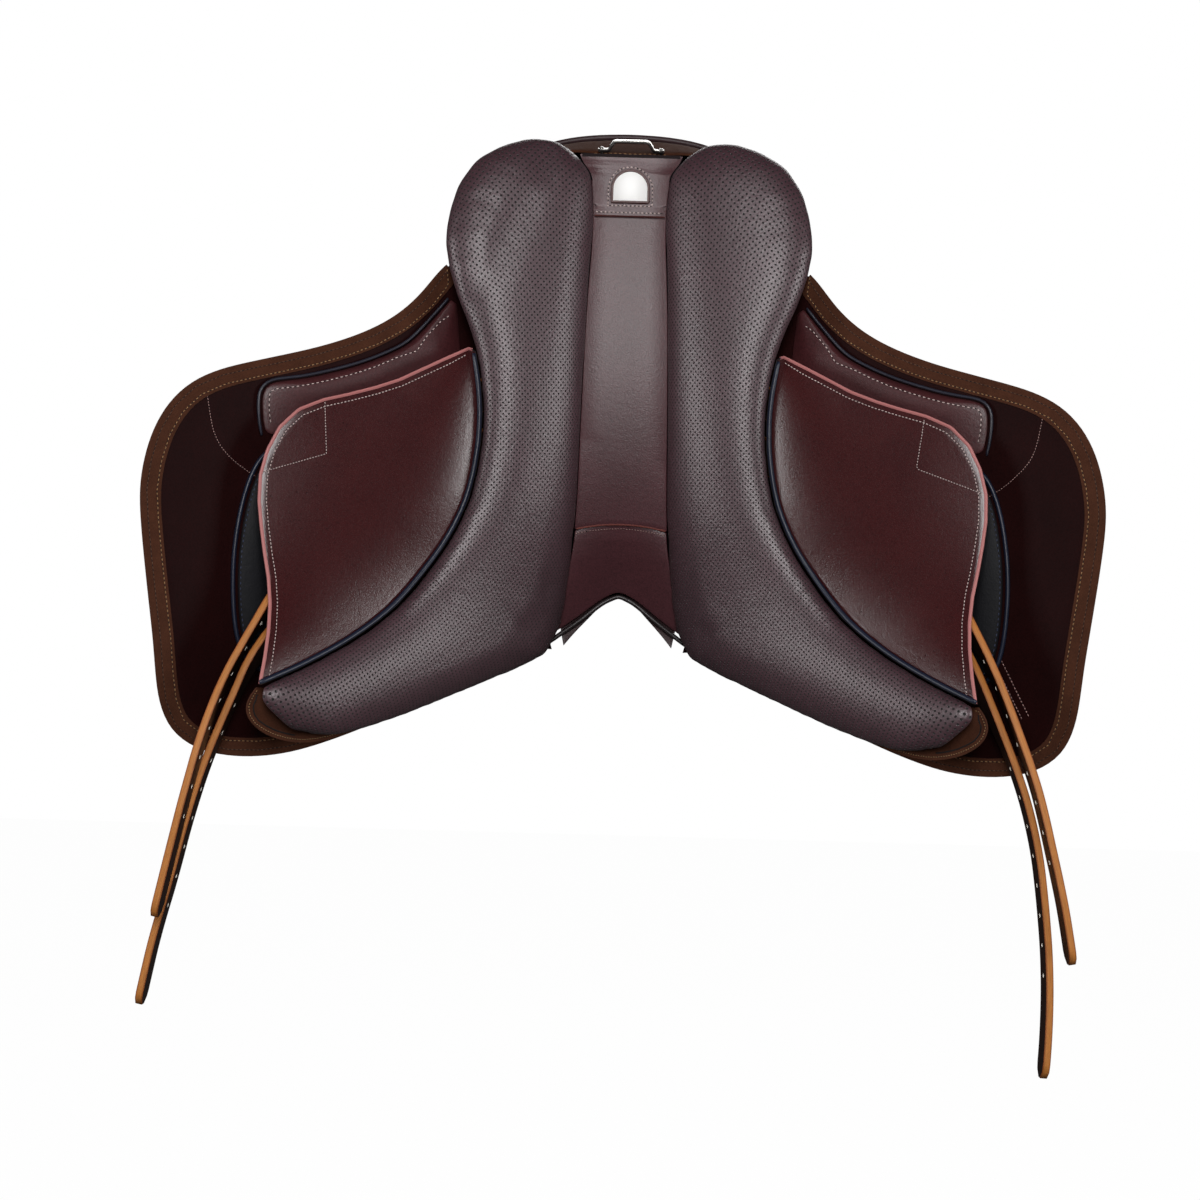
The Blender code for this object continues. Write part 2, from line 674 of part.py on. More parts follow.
def flap_binding(side_name, side, parts):
    outline = smooth(FLAP_OUTLINE, 36)
    outline = np.vstack([(outline[0] + outline[1]) / 2, outline[1:33]])
    inner = offset_line(outline, -BINDING_WIDTH)
    edge = offset_line(outline, -BINDING_THICKNESS)
    outer = outline
    rings = []
    low = LAYER_GAP
    high = FLAP_THICKNESS + LAYER_GAP
    for (xi, zi), (xe, ze), (xo, zo) in zip(inner, edge, outer):
        at_inner = flap_surface(xi, zi)
        at_edge = flap_surface(xe, ze)
        at_outer = flap_surface(xo, zo)
        rings.append([
            (xi, at_inner - low - BINDING_THICKNESS, zi),
            (xo, at_outer - low - BINDING_THICKNESS, zo),
            (xo, at_outer + high + BINDING_THICKNESS, zo),
            (xi, at_inner + high + BINDING_THICKNESS, zi),
            (xi, at_inner + high, zi),
            (xe, at_edge + high, ze),
            (xe, at_edge - low, ze),
            (xi, at_inner - low, zi),
        ])
    return loft(f"flap_binding_{side_name}", mirrored(rings, side), "suede", parts)


def pad_back(x, z):
    return flap_surface(x, z) - LAYER_GAP


def flap_pad(side_name, side, parts):
    inner = smooth(FLAP_PAD_INNER, FLAP_PAD_STATIONS)
    outer = smooth(FLAP_PAD_OUTER, FLAP_PAD_STATIONS)
    rings = pillow_rings(inner, outer, pad_back, FLAP_PAD_DEPTH, 7, PAD_EDGE)
    return loft(f"flap_pad_{side_name}", mirrored(rings, side), "smooth leather", parts)


def block_pad(side_name, side, parts):
    inner = smooth(BLOCK_INNER, 16)
    outer = smooth(BLOCK_OUTER, 16)
    rings = pillow_rings(inner, outer, pad_back, BLOCK_DEPTH, 7, PAD_EDGE)
    return loft(f"block_pad_{side_name}", mirrored(rings, side), "black padding", parts)


def pad_piping(name, outer, side, parts, radius=PIPING_RADIUS, count=20):
    line = offset_line(smooth(outer, count), radius + SEAM_GAP)
    points = [(side * x, pad_back(x, z) - radius - LAYER_GAP, z) for x, z in line]
    return rod(name, points, radius, "piping", parts)


# Seat

def half_outline(inset, count=26):
    """The seat's half outline, drawn in by a width, from rear to front."""
    line = smooth(SEAT_OUTLINE, count)
    moved = offset_line(line, -inset)
    moved[:, 0] = np.maximum(moved[:, 0], 0.0)
    moved[0] = (0.0, line[0][1] - inset)
    moved[-1] = (0.0, line[-1][1] + inset)
    return moved


def middle_line(outline):
    z = np.linspace(outline[0][1], outline[-1][1], len(outline))
    return np.column_stack([np.zeros(len(z)), z])


def full_width(half, height, rows):
    """A surface over the whole seat, as rows from the left edge to the right edge."""
    middle = middle_line(half)
    grid = []
    for t in np.linspace(-1, 1, 2 * rows - 1):
        flat = middle * (1 - abs(t)) + half * abs(t)
        grid.append([(math.copysign(x, t), height(x, z), z) for x, z in flat])
    return grid


def seat_cover(parts):
    rows = full_width(half_outline(0.0, 24), seat_surface, 5)
    return slab("seat_cover", rows, COVER_THICKNESS, "smooth leather", parts)


def seat_foam(parts):
    rows = full_width(
        half_outline(FOAM_INSET, 24), lambda x, z: seat_surface(x, z) - COVER_THICKNESS - FOAM_GAP, 5
    )
    return slab("seat_foam", rows, FOAM_THICKNESS, "seat foam", parts)


def tree_body(parts):
    rows = full_width(half_outline(TREE_INSET, 24), tree_surface, 4)
    return slab("tree_body", rows, TREE_THICKNESS, "moulded tree", parts)


def foot_height(x, z):
    """Height of the cantle facing's lower edge, just above the panel."""
    on_panel = seam_height(max(x, STATIONS[0][0]), min(z, CAP_LEVEL_FROM))
    lift = FOOT_LIFT + FOOT_LIFT_AT_SIDE * min(x / STATIONS[0][0], 1)
    return max(on_panel + lift, FOOT_LOWEST)


def facing_levels():
    """Half lines of the cantle facing, from its top edge down to the panel."""
    top = half_outline(FACING_INSET, 34)
    keep = top[:, 1] > CANTLE_START
    middle = half_outline(SHOULDER_INSET, 34)[keep]
    bottom = half_outline(FOOT_INSET, 34)[keep]
    top = top[keep]
    bottom[:, 1] -= FOOT_TAIL * np.clip(1 - bottom[:, 0] / FOOT_TAIL_HALF_WIDTH, 0, 1)
    curves = []
    for line, height in (
        (top, lambda x, z: seat_surface(x, z) - COVER_THICKNESS - FACING_DROP),
        (middle, lambda x, z: seat_surface(x, z) - SHOULDER_DROP),
        (bottom, foot_height),
    ):
        curves.append(np.array([(x, height(x, z), z) for x, z in line]))
    top, middle, bottom = curves
    return [top, middle, middle * 0.5 + bottom * 0.5, bottom]


def cantle_facing(parts):
    rows = []
    for level in facing_levels():
        left = level[::-1] * np.array([-1, 1, 1])
        rows.append(np.vstack([left[:-1], level]))
    return sheet("cantle_facing", rows, FACING_THICKNESS, "suede", parts, outward=(0, 0, 1))


def pommel_facing(parts):
    top = half_outline(FACING_INSET, 60)
    top = top[top[:, 1] < POMMEL_START]
    u = np.linspace(0.98, 0.0, len(top))
    rows = []
    for t in np.linspace(0, 1, 5):
        row = []
        for (x, z), across in zip(top, u):
            high = Vector((x, seat_surface(x, z) - COVER_THICKNESS - FACING_DROP, z))
            low_x, low_y, low_z = lining_point(across, 1.0)
            low = Vector((low_x, low_y + 3 * STRIP_THICKNESS, low_z - ARCH_BINDING_DROP))
            row.append(high.lerp(low, t))
        left = [(-x, y, z) for x, y, z in row]
        rows.append(left + [tuple(place) for place in row[::-1]][1:])
    return sheet("pommel_facing", rows, FACING_THICKNESS, "smooth leather", parts, outward=(0, 0, -1))


def cantle_welt(parts):
    line = offset_line(half_outline(0.0, 44), WELT_RADIUS + SEAM_GAP)
    line = line[line[:, 1] > CANTLE_START + 3 * SEAM_GAP]
    line[0][0] = 0.0
    half = [(x, along(z, EDGE_HEIGHT) - WELT_RADIUS, z) for x, z in line]
    left = [(-x, y, z) for x, y, z in half[::-1]]
    return rod("cantle_welt", left[:-1] + half, WELT_RADIUS, "smooth leather", parts)


def skirt_line(t):
    """The straight line that the skirt hangs from, from rear (0) to front (1)."""
    ends = [
        Vector((seat_edge(z) + 4 * SEAM_GAP + 2 * WELT_RADIUS, along(z, EDGE_HEIGHT) - COVER_THICKNESS, z))
        for z in (SKIRT_REAR, SKIRT_FRONT)
    ]
    return ends[0].lerp(ends[1], t)


def skirt_welt(side_name, side, parts):
    points = []
    for z in np.linspace(SKIRT_REAR + 0.014, SKIRT_FRONT + 0.006, 10):
        x = seat_edge(z) + WELT_RADIUS + SEAM_GAP
        points.append((side * x, along(z, EDGE_HEIGHT) - WELT_RADIUS, z))
    return rod(f"skirt_welt_{side_name}", points, WELT_RADIUS, "smooth leather", parts)


def skirt(side_name, side, parts):
    outline = smooth(SKIRT_OUTLINE, 18)
    places = np.linspace(0, 1, 18)
    rows = []
    for t in np.linspace(0, 1, 5):
        row = []
        for (x, z), place in zip(outline, places):
            bx, by, bz = skirt_line(place)
            over_flap = SKIRT_CLEARANCE + SKIRT_THICKNESS * 1.4 + SKIRT_LIFT * place ** 2
            end_y = flap_surface(x, z) + FLAP_THICKNESS + over_flap
            px = bx + (x - bx) * t
            pz = bz + (z - bz) * t
            py = by + (end_y - by) * t + SKIRT_BELLY * math.sin(math.pi * t) * (1 - t) ** 0.5
            row.append((side * px, py, pz))
        rows.append(row)
    return sheet(f"skirt_{side_name}", rows, SKIRT_THICKNESS, "smooth leather", parts, outward=(0, 1, 0))


# Tree fittings

def ribbon(name, path, width_directions, width, thickness, finish_name, parts, sharp=math.radians(40)):
    """A flat bar along a path; the width direction at each point fixes how it lies."""
    path = np.array(path, float)
    tangents = np.gradient(path, axis=0)
    rings = []
    for place, tangent, across in zip(path, tangents, width_directions):
        tangent = Vector(tangent).normalized()
        across = Vector(across)
        across = (across - tangent * across.dot(tangent)).normalized()
        normal = tangent.cross(across)
        place = Vector(place)
        rings.append([
            place + across * (a * width / 2) + normal * (b * thickness / 2)
            for a, b in ((-1, -1), (1, -1), (1, 1), (-1, 1))
        ])
    return loft(name, rings, finish_name, parts, sharp)


def head_plate(parts, cutters):
    half = smooth(HEAD_PATH, 12)
    other = half[::-1][1:] * np.array([-1, 1, 1])
    path = np.vstack([half, other])
    lying = [(0, 0, 1)] * len(path)
    plate = ribbon("head_plate", path, lying, HEAD_WIDTH, HEAD_THICKNESS, "bright steel", parts)
    x = HEAD_SCREW_OFFSET
    z = HEAD_PATH[-1][2]
    y, y_at_rim = np.interp((x, x + HEAD_SCREW_HEAD), half[::-1, 0], half[::-1, 1])
    tree = bpy.data.objects["tree_body"]
    for side_name, side in SIDES:
        place = Vector((side * x, y, z))
        cut(plate, f"plate_bore_{side_name}", place, (0, 1, 0), HEAD_SCREW_RADIUS + FIT, 0.020, cutters)
        low = tree_surface(x, z) - TREE_THICKNESS
        cut(
            tree, f"tree_bore_{side_name}", Vector((side * x, low - 0.004, z)), (0, 1, 0),
            HEAD_SCREW_RADIUS + FIT, 0.020, cutters,
        )
        under_head = y_at_rim - y - HEAD_THICKNESS / 2 - 2 * FIT
        profile = [
            (0.0, HEAD_SCREW_SHANK), (HEAD_SCREW_RADIUS, HEAD_SCREW_SHANK), (HEAD_SCREW_RADIUS, under_head),
            (HEAD_SCREW_HEAD, under_head), (HEAD_SCREW_HEAD * 0.7, under_head - HEAD_SCREW_CAP),
            (0.0, under_head - HEAD_SCREW_CAP),
        ]
        turned(f"head_screw_{side_name}", place, Vector((0, 1, 0)), profile, "bright steel", parts)


def bar_height(z):
    return float(np.interp(z, (BAR_FRONT, BAR_REAR), (BAR_FRONT_Y, BAR_REAR_Y)))


def bar_inner_x():
    widest = max(seat_edge(z) for z in (BAR_FRONT, BAR_REAR))
    return widest - TREE_INSET + 2 * SEAM_GAP + BAR_THICKNESS / 2


def stirrup_bar(side_name, side, parts, cutters):
    inner_x = bar_inner_x()
    outer_x = inner_x + BAR_THICKNESS + BAR_SLOT
    bend = (outer_x - inner_x) / 2
    flat = [(inner_x, z) for z in np.linspace(BAR_REAR, BAR_FRONT + bend, 5)]
    flat += [
        (inner_x + bend - bend * math.cos(a), BAR_FRONT + bend - bend * math.sin(a))
        for a in np.linspace(0, math.pi, 9)[1:-1]
    ]
    flat += [(outer_x, z) for z in np.linspace(BAR_FRONT + bend, BAR_REAR, 5)]
    rings = []
    directions = np.gradient(np.array(flat), axis=0)
    for (x, z), (dx, dz) in zip(flat, directions):
        y = bar_height(z)
        size = math.hypot(dx, dz)
        nx, nz = -dz / size * BAR_THICKNESS / 2, dx / size * BAR_THICKNESS / 2
        rings.append([
            (x - nx, y - BAR_HEIGHT / 2, z - nz), (x + nx, y - BAR_HEIGHT / 2, z + nz),
            (x + nx, y + BAR_HEIGHT / 2, z + nz), (x - nx, y + BAR_HEIGHT / 2, z - nz),
        ])
    bar = loft(f"stirrup_bar_{side_name}", mirrored(rings, side), "bright steel", parts)
    pin_z = BAR_REAR - PIN_SETBACK
    pin_y = bar_height(pin_z)
    bore = PIN_RADIUS + PIN_CLEARANCE
    through = 3 * BAR_THICKNESS
    in_bar = Vector((side * outer_x, pin_y, pin_z))
    cut(bar, f"bar_bore_{side_name}", in_bar, (1, 0, 0), bore, through, cutters)
    face_x = outer_x + BAR_THICKNESS / 2 + FIT
    catch_x = face_x + CATCH_THICKNESS / 2
    outline = [
        (pin_y + CATCH_HEIGHT / 2 * math.sin(a), pin_z - CATCH_HEIGHT / 2 * math.cos(a))
        for a in np.linspace(-math.pi / 2, math.pi / 2, 7)
    ]
    catch_end = pin_z + CATCH_LENGTH
    outline += [(pin_y + CATCH_HEIGHT / 2, catch_end), (pin_y - CATCH_HEIGHT / 2, catch_end)]
    rings = [
        [(side * (catch_x + d * CATCH_THICKNESS / 2), y, z) for y, z in outline] for d in (-1, 1)
    ]
    catch = loft(f"bar_catch_{side_name}", rings, "bright steel", parts)
    in_catch = Vector((side * catch_x, pin_y, pin_z))
    cut(catch, f"catch_bore_{side_name}", in_catch, (1, 0, 0), bore, through, cutters)
    start = outer_x - BAR_THICKNESS / 2
    end = face_x + CATCH_THICKNESS + FIT
    cylinder(
        f"catch_pin_{side_name}", Vector((side * (start + end) / 2, pin_y, pin_z)), (1, 0, 0),
        PIN_RADIUS, end - start, "bright steel", parts, 12,
    )


def bar_rivet(side_name, side, parts, cutters):
    """A rivet through the bar's inner arm into the edge of the tree."""
    z = (BAR_FRONT + BAR_REAR) / 2
    edge = seat_edge(z) - TREE_INSET
    y = tree_surface(edge - RIVET_DEPTH / 2, z) - TREE_THICKNESS / 2
    face = bar_inner_x() + BAR_THICKNESS / 2 + FIT
    bore = RIVET_RADIUS + FIT
    for piece in ("stirrup_bar", "tree_body"):
        owner = bpy.data.objects[piece if piece == "tree_body" else f"{piece}_{side_name}"]
        depth = 2 * (face - edge + RIVET_DEPTH + FIT) if piece == "tree_body" else 3 * BAR_THICKNESS
        centre = Vector((side * face, y, z))
        cut(owner, f"{piece}_rivet_bore_{side_name}", centre, (1, 0, 0), bore, depth, cutters)
    profile = [
        (0.0, RIVET_HEAD * 0.5), (RIVET_HEAD * 0.7, RIVET_HEAD * 0.36), (RIVET_HEAD, 0.0),
        (RIVET_RADIUS, 0.0), (RIVET_RADIUS, edge - face - RIVET_DEPTH), (0.0, edge - face - RIVET_DEPTH),
    ]
    under_head = Vector((side * face, y, z))
    outward = Vector((side, 0, 0))
    turned(f"bar_rivet_{side_name}", under_head, outward, profile, "bright steel", parts)


def girth_web(name, z, parts):
    edge = seat_edge(z) - TREE_INSET
    top = [
        (x, tree_surface(min(x, edge), z) + WEB_GAP)
        for x in np.linspace(0, edge + WEB_OVER_EDGE, 8)
    ]
    turn = (edge + WEB_TURN, top[-1][1] - WEB_TURN_DROP)
    path = smooth(top + [turn, (WEB_END_X, WEB_END_Y)], 12)
    rows = []
    for offset in np.linspace(-0.5, 0.5, 3):
        place = z + offset * WEB_WIDTH
        half = []
        for x, y in path:
            on_tree = min(x, edge)
            lift = tree_surface(on_tree, place) - tree_surface(on_tree, z)
            fade = min(max((WEB_END_X - x) / (WEB_END_X - edge), 0), 1)
            half.append((x, y + lift * fade, place))
        left = [(-x, y, c) for x, y, c in half[::-1]]
        rows.append(left[:-1] + half)
    return sheet(name, rows, WEB_THICKNESS, "webbing", parts, outward=(0, -1, 0))


def girth_strap(name, side, parts, cutters):
    route = smooth(STRAP_ROUTES[name], 26)
    route[:, 0] *= side
    root = Vector(STRAP_ROOT_FACE)
    hanging = Vector(STRAP_HANGING_FACE)
    directions = []
    for t in np.linspace(0, 1, len(route)):
        blend = min(max((t - STRAP_TWIST_FROM) / (STRAP_TWIST_TO - STRAP_TWIST_FROM), 0), 1)
        blend = blend * blend * (3 - 2 * blend)
        across = root.lerp(hanging, blend)
        directions.append((side * across.x, across.y, across.z))
    strap = ribbon(name, route, directions, STRAP_WIDTH, STRAP_THICKNESS, "bridle leather", parts)
    length = np.concatenate([[0], np.cumsum(np.linalg.norm(np.diff(route, axis=0), axis=1))])
    tangents = np.gradient(route, axis=0)
    for hole in range(STRAP_HOLE_COUNT):
        at = length[-1] - STRAP_HOLE_START - hole * STRAP_HOLE_PITCH
        place = Vector([float(np.interp(at, length, route[:, k])) for k in range(3)])
        tangent = Vector([float(np.interp(at, length, tangents[:, k])) for k in range(3)]).normalized()
        across = Vector([float(np.interp(at, length, np.array(directions)[:, k])) for k in range(3)])
        across = (across - tangent * across.dot(tangent)).normalized()
        cut(
            strap, f"{name}_hole_{hole + 1}", place, tangent.cross(across),
            STRAP_HOLE_RADIUS, STRAP_THICKNESS * 2, cutters, 6,
        )


def facing_frame():
    """Where the staple stands on the cantle facing: a point at x = 0, the line down it and its normal."""
    foot_x = STAPLE_HALF_SPAN
    levels = facing_levels()
    upper, lower = (
        np.array([np.interp(foot_x, level[:, 0], level[:, k]) for k in (1, 2)])
        for level in (levels[1], levels[-1])
    )
    down = Vector((0, *(lower - upper))).normalized()
    normal = Vector((0, down.z, -down.y))
    share = (STAPLE_Y - upper[0]) / (lower[0] - upper[0])
    place = upper + (lower - upper) * share
    return Vector((0, *place)), down, normal


def rear_staple(parts, cutters):
    """A flat bar bent to a low bridge, on two feet that are screwed to the cantle."""
    place, down, normal = facing_frame()
    foot = STAPLE_THICKNESS / 2 + 2 * LAYER_GAP
    span, bend, splay = STAPLE_HALF_SPAN, STAPLE_BEND, STAPLE_SPLAY
    half = [
        (0.0, STAPLE_RISE), (span - bend, STAPLE_RISE), (span - bend * 0.4, STAPLE_RISE - bend * 0.25),
        (span, STAPLE_RISE - bend * 0.9), (span + splay * 0.5, foot + bend * 0.9),
        (span + splay, foot + bend * 0.25), (span + splay * 2, foot), (span + STAPLE_FOOT, foot),
    ]
    flat = [(-x, h) for x, h in half[::-1]][:-1] + half
    path = [place + Vector((x, 0, 0)) + normal * h for x, h in flat]
    lying = [down] * len(path)
    staple = ribbon("rear_staple", path, lying, STAPLE_WIDTH, STAPLE_THICKNESS, "bright steel", parts)
    facing = bpy.data.objects["cantle_facing"]
    for side_name, side in SIDES:
        x = side * (STAPLE_HALF_SPAN + STAPLE_FOOT - STAPLE_WIDTH / 2)
        centre = place + Vector((x, 0, 0)) + normal * foot
        bore = STAPLE_SCREW_RADIUS + FIT
        cut(staple, f"foot_bore_{side_name}", centre, normal, bore, 3 * STAPLE_THICKNESS, cutters)
        cut(facing, f"facing_bore_{side_name}", centre, normal, bore, 5 * STAPLE_THICKNESS, cutters)
        top = foot + STAPLE_THICKNESS / 2 + FIT
        tip = top - STAPLE_SCREW_LENGTH
        head = STAPLE_SCREW_HEAD
        profile = [
            (0.0, top + head * 0.5), (head * 0.6, top + head * 0.42), (head, top + head * 0.15),
            (head, top), (STAPLE_SCREW_RADIUS, top), (STAPLE_SCREW_RADIUS, tip), (0.0, tip),
        ]
        turned(f"staple_screw_{side_name}", place + Vector((x, 0, 0)), normal, profile, "bright steel", parts)


def front_dee(side_name, side, parts):
    x, y, z = DEE_CENTRE
    bow = DEE_WIDTH / 2
    outline = [(-bow, 0.0), (0.0, 0.0), (bow, 0.0)]
    outline += [
        (bow * math.cos(a), -(DEE_DROP - bow) - bow * math.sin(a)) for a in np.linspace(0, math.pi, 13)
    ]
    points = [(side * (x + dx), y, z + dz) for dx, dz in outline]
    return rod(f"front_dee_{side_name}", points, DEE_WIRE, "bright steel", parts, cyclic=True)


def dee_chape(side_name, side, parts):
    x, y, z = DEE_CENTRE
    inner = DEE_WIRE + 2 * FIT
    outer = inner + CHAPE_LEATHER
    bends = np.linspace(0, math.pi, 9)
    outside = [(outer * math.cos(a), -outer * math.sin(a)) for a in bends]
    inside = [(inner * math.cos(a), -inner * math.sin(a)) for a in bends[::-1]]
    profile = [(outer, CHAPE_LENGTH)] + outside + [(-outer, CHAPE_LENGTH), (-inner, CHAPE_LENGTH)]
    profile += inside + [(inner, CHAPE_LENGTH)]
    rings = [
        [(side * (x + d * CHAPE_WIDTH / 2), y + dy, z + dz) for dy, dz in profile] for d in (-1, 1)
    ]
    return loft(f"dee_chape_{side_name}", rings, "smooth leather", parts)


def hang(name, place, pieces, parts):
    """An empty on a joint's axis, with the pieces that turn about it."""
    axis = bpy.data.objects.new(name, None)
    axis.location = place
    parts.objects.link(axis)
    for piece in pieces:
        obj = bpy.data.objects[piece]
        obj.parent = axis
        obj.location = -Vector(place)


def hang_moving_pieces(side_name, side, parts):
    flap_pieces = ("flap", "flap_binding", "flap_pad", "flap_pad_piping", "block_pad", "block_piping")
    hang(
        f"flap_hinge_{side_name}", Vector((side * HINGE_X, HINGE_Y, 0)),
        [f"{piece}_{side_name}" for piece in flap_pieces], parts,
    )
    x, y, z = skirt_line(0.5)
    hang(f"skirt_hinge_{side_name}", Vector((side * x, y, z)), [f"skirt_{side_name}"], parts)
    for place in ("rear", "front"):
        name = f"girth_strap_{place}_{side_name}"
        x, y, z = STRAP_ROUTES[name][0]
        hang(f"strap_hinge_{place}_{side_name}", Vector((side * x, y, z)), [name], parts)
    pin_z = BAR_REAR - PIN_SETBACK
    pin = Vector((side * (bar_inner_x() + BAR_THICKNESS + BAR_SLOT), bar_height(pin_z), pin_z))
    hang(f"catch_hinge_{side_name}", pin, [f"bar_catch_{side_name}"], parts)
    x, y, z = DEE_CENTRE
    hang(f"dee_hinge_{side_name}", Vector((side * x, y, z)), [f"front_dee_{side_name}"], parts)


def main():
    clear_scene()
    parts = new_collection("endurance_saddle")
    cutters = new_collection("cutters")
    for side_name, side in SIDES:
        panel_cushion(side_name, side, parts)
        panel_piping(side_name, side, parts)
        sweat_flap(side_name, side, parts)
        toe_facing(side_name, side, parts)
        flap(side_name, side, parts)
        flap_binding(side_name, side, parts)
        flap_pad(side_name, side, parts)
        block_pad(side_name, side, parts)
        pad_piping(
            f"flap_pad_piping_{side_name}", FLAP_PAD_OUTER, side, parts,
            FLAP_PAD_PIPING_RADIUS, FLAP_PAD_STATIONS,
        )
        pad_piping(f"block_piping_{side_name}", BLOCK_OUTER, side, parts)
        skirt_welt(side_name, side, parts)
        skirt(side_name, side, parts)
    channel_strip(parts)
    arch_lining(parts)
    arch_binding(parts)
    rear_cap(parts)
    badge_plate(parts)
    seat_cover(parts)
    seat_foam(parts)
    tree_body(parts)
    cantle_facing(parts)
    pommel_facing(parts)
    cantle_welt(parts)
    head_plate(parts, cutters)
    girth_web("girth_web_rear", WEB_REAR_Z, parts)
    girth_web("girth_web_front", WEB_FRONT_Z, parts)
    for side_name, side in SIDES:
        stirrup_bar(side_name, side, parts, cutters)
        bar_rivet(side_name, side, parts, cutters)
        girth_strap(f"girth_strap_rear_{side_name}", side, parts, cutters)
        girth_strap(f"girth_strap_front_{side_name}", side, parts, cutters)
        front_dee(side_name, side, parts)
        dee_chape(side_name, side, parts)
    rear_staple(parts, cutters)
    for side_name, side in SIDES:
        hang_moving_pieces(side_name, side, parts)


main()
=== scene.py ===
"""The looks of an endurance saddle that stands nose down with its horse side to the camera."""

import json
import math

import bmesh
import bpy
import numpy as np
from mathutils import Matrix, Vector
from mathutils.bvhtree import BVHTree


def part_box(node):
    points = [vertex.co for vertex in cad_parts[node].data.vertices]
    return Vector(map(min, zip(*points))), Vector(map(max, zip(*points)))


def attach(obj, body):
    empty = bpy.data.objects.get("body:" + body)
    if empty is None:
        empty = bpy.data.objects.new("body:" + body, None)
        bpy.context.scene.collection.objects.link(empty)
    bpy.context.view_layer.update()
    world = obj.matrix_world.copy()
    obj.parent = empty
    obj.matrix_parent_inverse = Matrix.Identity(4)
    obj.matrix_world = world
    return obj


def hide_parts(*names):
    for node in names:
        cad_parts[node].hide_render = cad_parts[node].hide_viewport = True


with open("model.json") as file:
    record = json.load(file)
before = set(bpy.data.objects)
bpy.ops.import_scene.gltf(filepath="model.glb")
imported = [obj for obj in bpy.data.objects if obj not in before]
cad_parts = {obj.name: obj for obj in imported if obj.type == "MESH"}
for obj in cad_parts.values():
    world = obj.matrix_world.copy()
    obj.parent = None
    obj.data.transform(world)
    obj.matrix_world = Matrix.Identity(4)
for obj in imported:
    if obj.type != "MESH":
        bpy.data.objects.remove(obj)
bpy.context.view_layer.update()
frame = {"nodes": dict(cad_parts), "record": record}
bpy.ops.object.select_all(action="DESELECT")

HORSE_SIDE = Vector((0, -1, 0))
RIDER_SIDE = Vector((0, 1, 0))
SIDES = (("left", -1), ("right", 1))
BODY_OF = {node: body for body, nodes in frame["record"]["behaviour"]["bodies"].items() for node in nodes}

# Camera: distance from the saddle, the width it sees at the saddle, and its roll
CAMERA_PLACE = Vector((-0.018, -2.4, -0.186))
CAMERA_ROLL = math.radians(1.6)
SEEN_WIDTH = 1.116
SENSOR_WIDTH = 36.0

# Light: the plain level all round, each softbox with its place, size and watts, and the floor
AMBIENT = 0.03
SOFTBOXES = (
    ("front_softbox", (0.0, -2.45, 0.55), (0.9, 1.5), 52),
    ("left_softbox", (-2.36, -0.86, 0.05), (0.7, 0.9), 26),
    ("right_softbox", (2.36, -0.86, 0.05), (0.7, 0.9), 28),
    ("rear_softbox", (0.4, 2.4, 1.4), (1.6, 1.2), 24),
)
FLOOR_HEIGHT = -0.95
FLOOR_GLOW = 0.985
FLOOR_SPILL = 0.08

# Leather edges, merging of the frame's loose triangles, and how far a face may turn and still face a side
MERGE = 0.00002
QUAD_ANGLE = math.radians(40)
SHARP = math.radians(50)
EDGE_ROUND = 0.0006
FACING = 0.35
RIM_LEAN = 0.35
RIM_FLATNESS = 0.55

# Distance between the points of a stitched line, and of a short curved one
LINE_STEP = 0.004
CURVE_STEP = 0.003

# Thread: pitch, stitch length and radius of each kind of row
FLAP_STITCH = (0.0034, 0.0023, 0.00052)
PAD_STITCH = (0.0048, 0.0027, 0.00052)
BINDING_STITCH = (0.0042, 0.0026, 0.00050)
FRAME_STITCH = (0.0039, 0.0024, 0.00080)
FINE_STITCH = (0.0027, 0.0018, 0.00042)
# Radius and depth of the near-black cord of painted shade sunk along a stitched line
GROOVE_SHADE_RADIUS = 0.00050
GROOVE_SHADE_DEPTH = 0.00030
THREAD_LIFT = 0.00022

# Perforations in the panel leather
HOLE_PITCH = 0.0055
HOLE_RADIUS = 0.00074
HOLE_DEPTH = 0.0016

# Filling of the panel cushions
CUSHION_VOXEL = 0.0042
CUSHION_PLUMP = 0.0012
CUSHION_PRESSURE = 4.0
CUSHION_SWELL = 0.0020
CUSHION_CROWN = 0.006
CUSHION_SHOULDER = 0.045
SETTLE_FRAMES = 20

# Sweat flap: cut edge turned to the horse, its bead, and how far and how high up the hide rises off its seam
RAW_EDGE_WIDTH = 0.0042
SWEAT_RISE = 0.011
SWEAT_RISE_WIDTH = 0.034
SWEAT_FLAT_BELOW = -0.260
SWEAT_FULL_ABOVE = -0.090
EDGE_BEAD = 0.0016

# Girth straps
STRAP_STATIONS = 110
STRAP_ACROSS = 8
STRAP_TIP = 0.013
STRAP_EDGE_ROUND = 0.0009
STRAP_HOLE_RADIUS = 0.0021
STRAP_HOLE_PITCH = 0.027
STRAP_HOLE_COUNT = 8
STRAP_HOLE_START = 0.092

# Cap: the frame round the blank plate, the padding beside it and the two small notches
FRAME_BEAD = 0.0013
FRAME_STITCH_OFFSET = 0.0036
CAP_CROWN = 0.0026
CAP_PLATE_HALF = 0.017
CAP_TUCK = 1.04
NOTCH_RADIUS = 0.0026
NOTCH_ACROSS = 0.0340
NOTCH_HEIGHT = 0.0090

# Channel: how far its strip and lining run in under the cushions and behind each other
STRIP_TUCK = 1.04
LINING_TUCK = 1.045
LINING_TUCK_UP = 0.0045
LINING_TUCK_IN = 0.0030
ARCH_SPREAD = 0.34

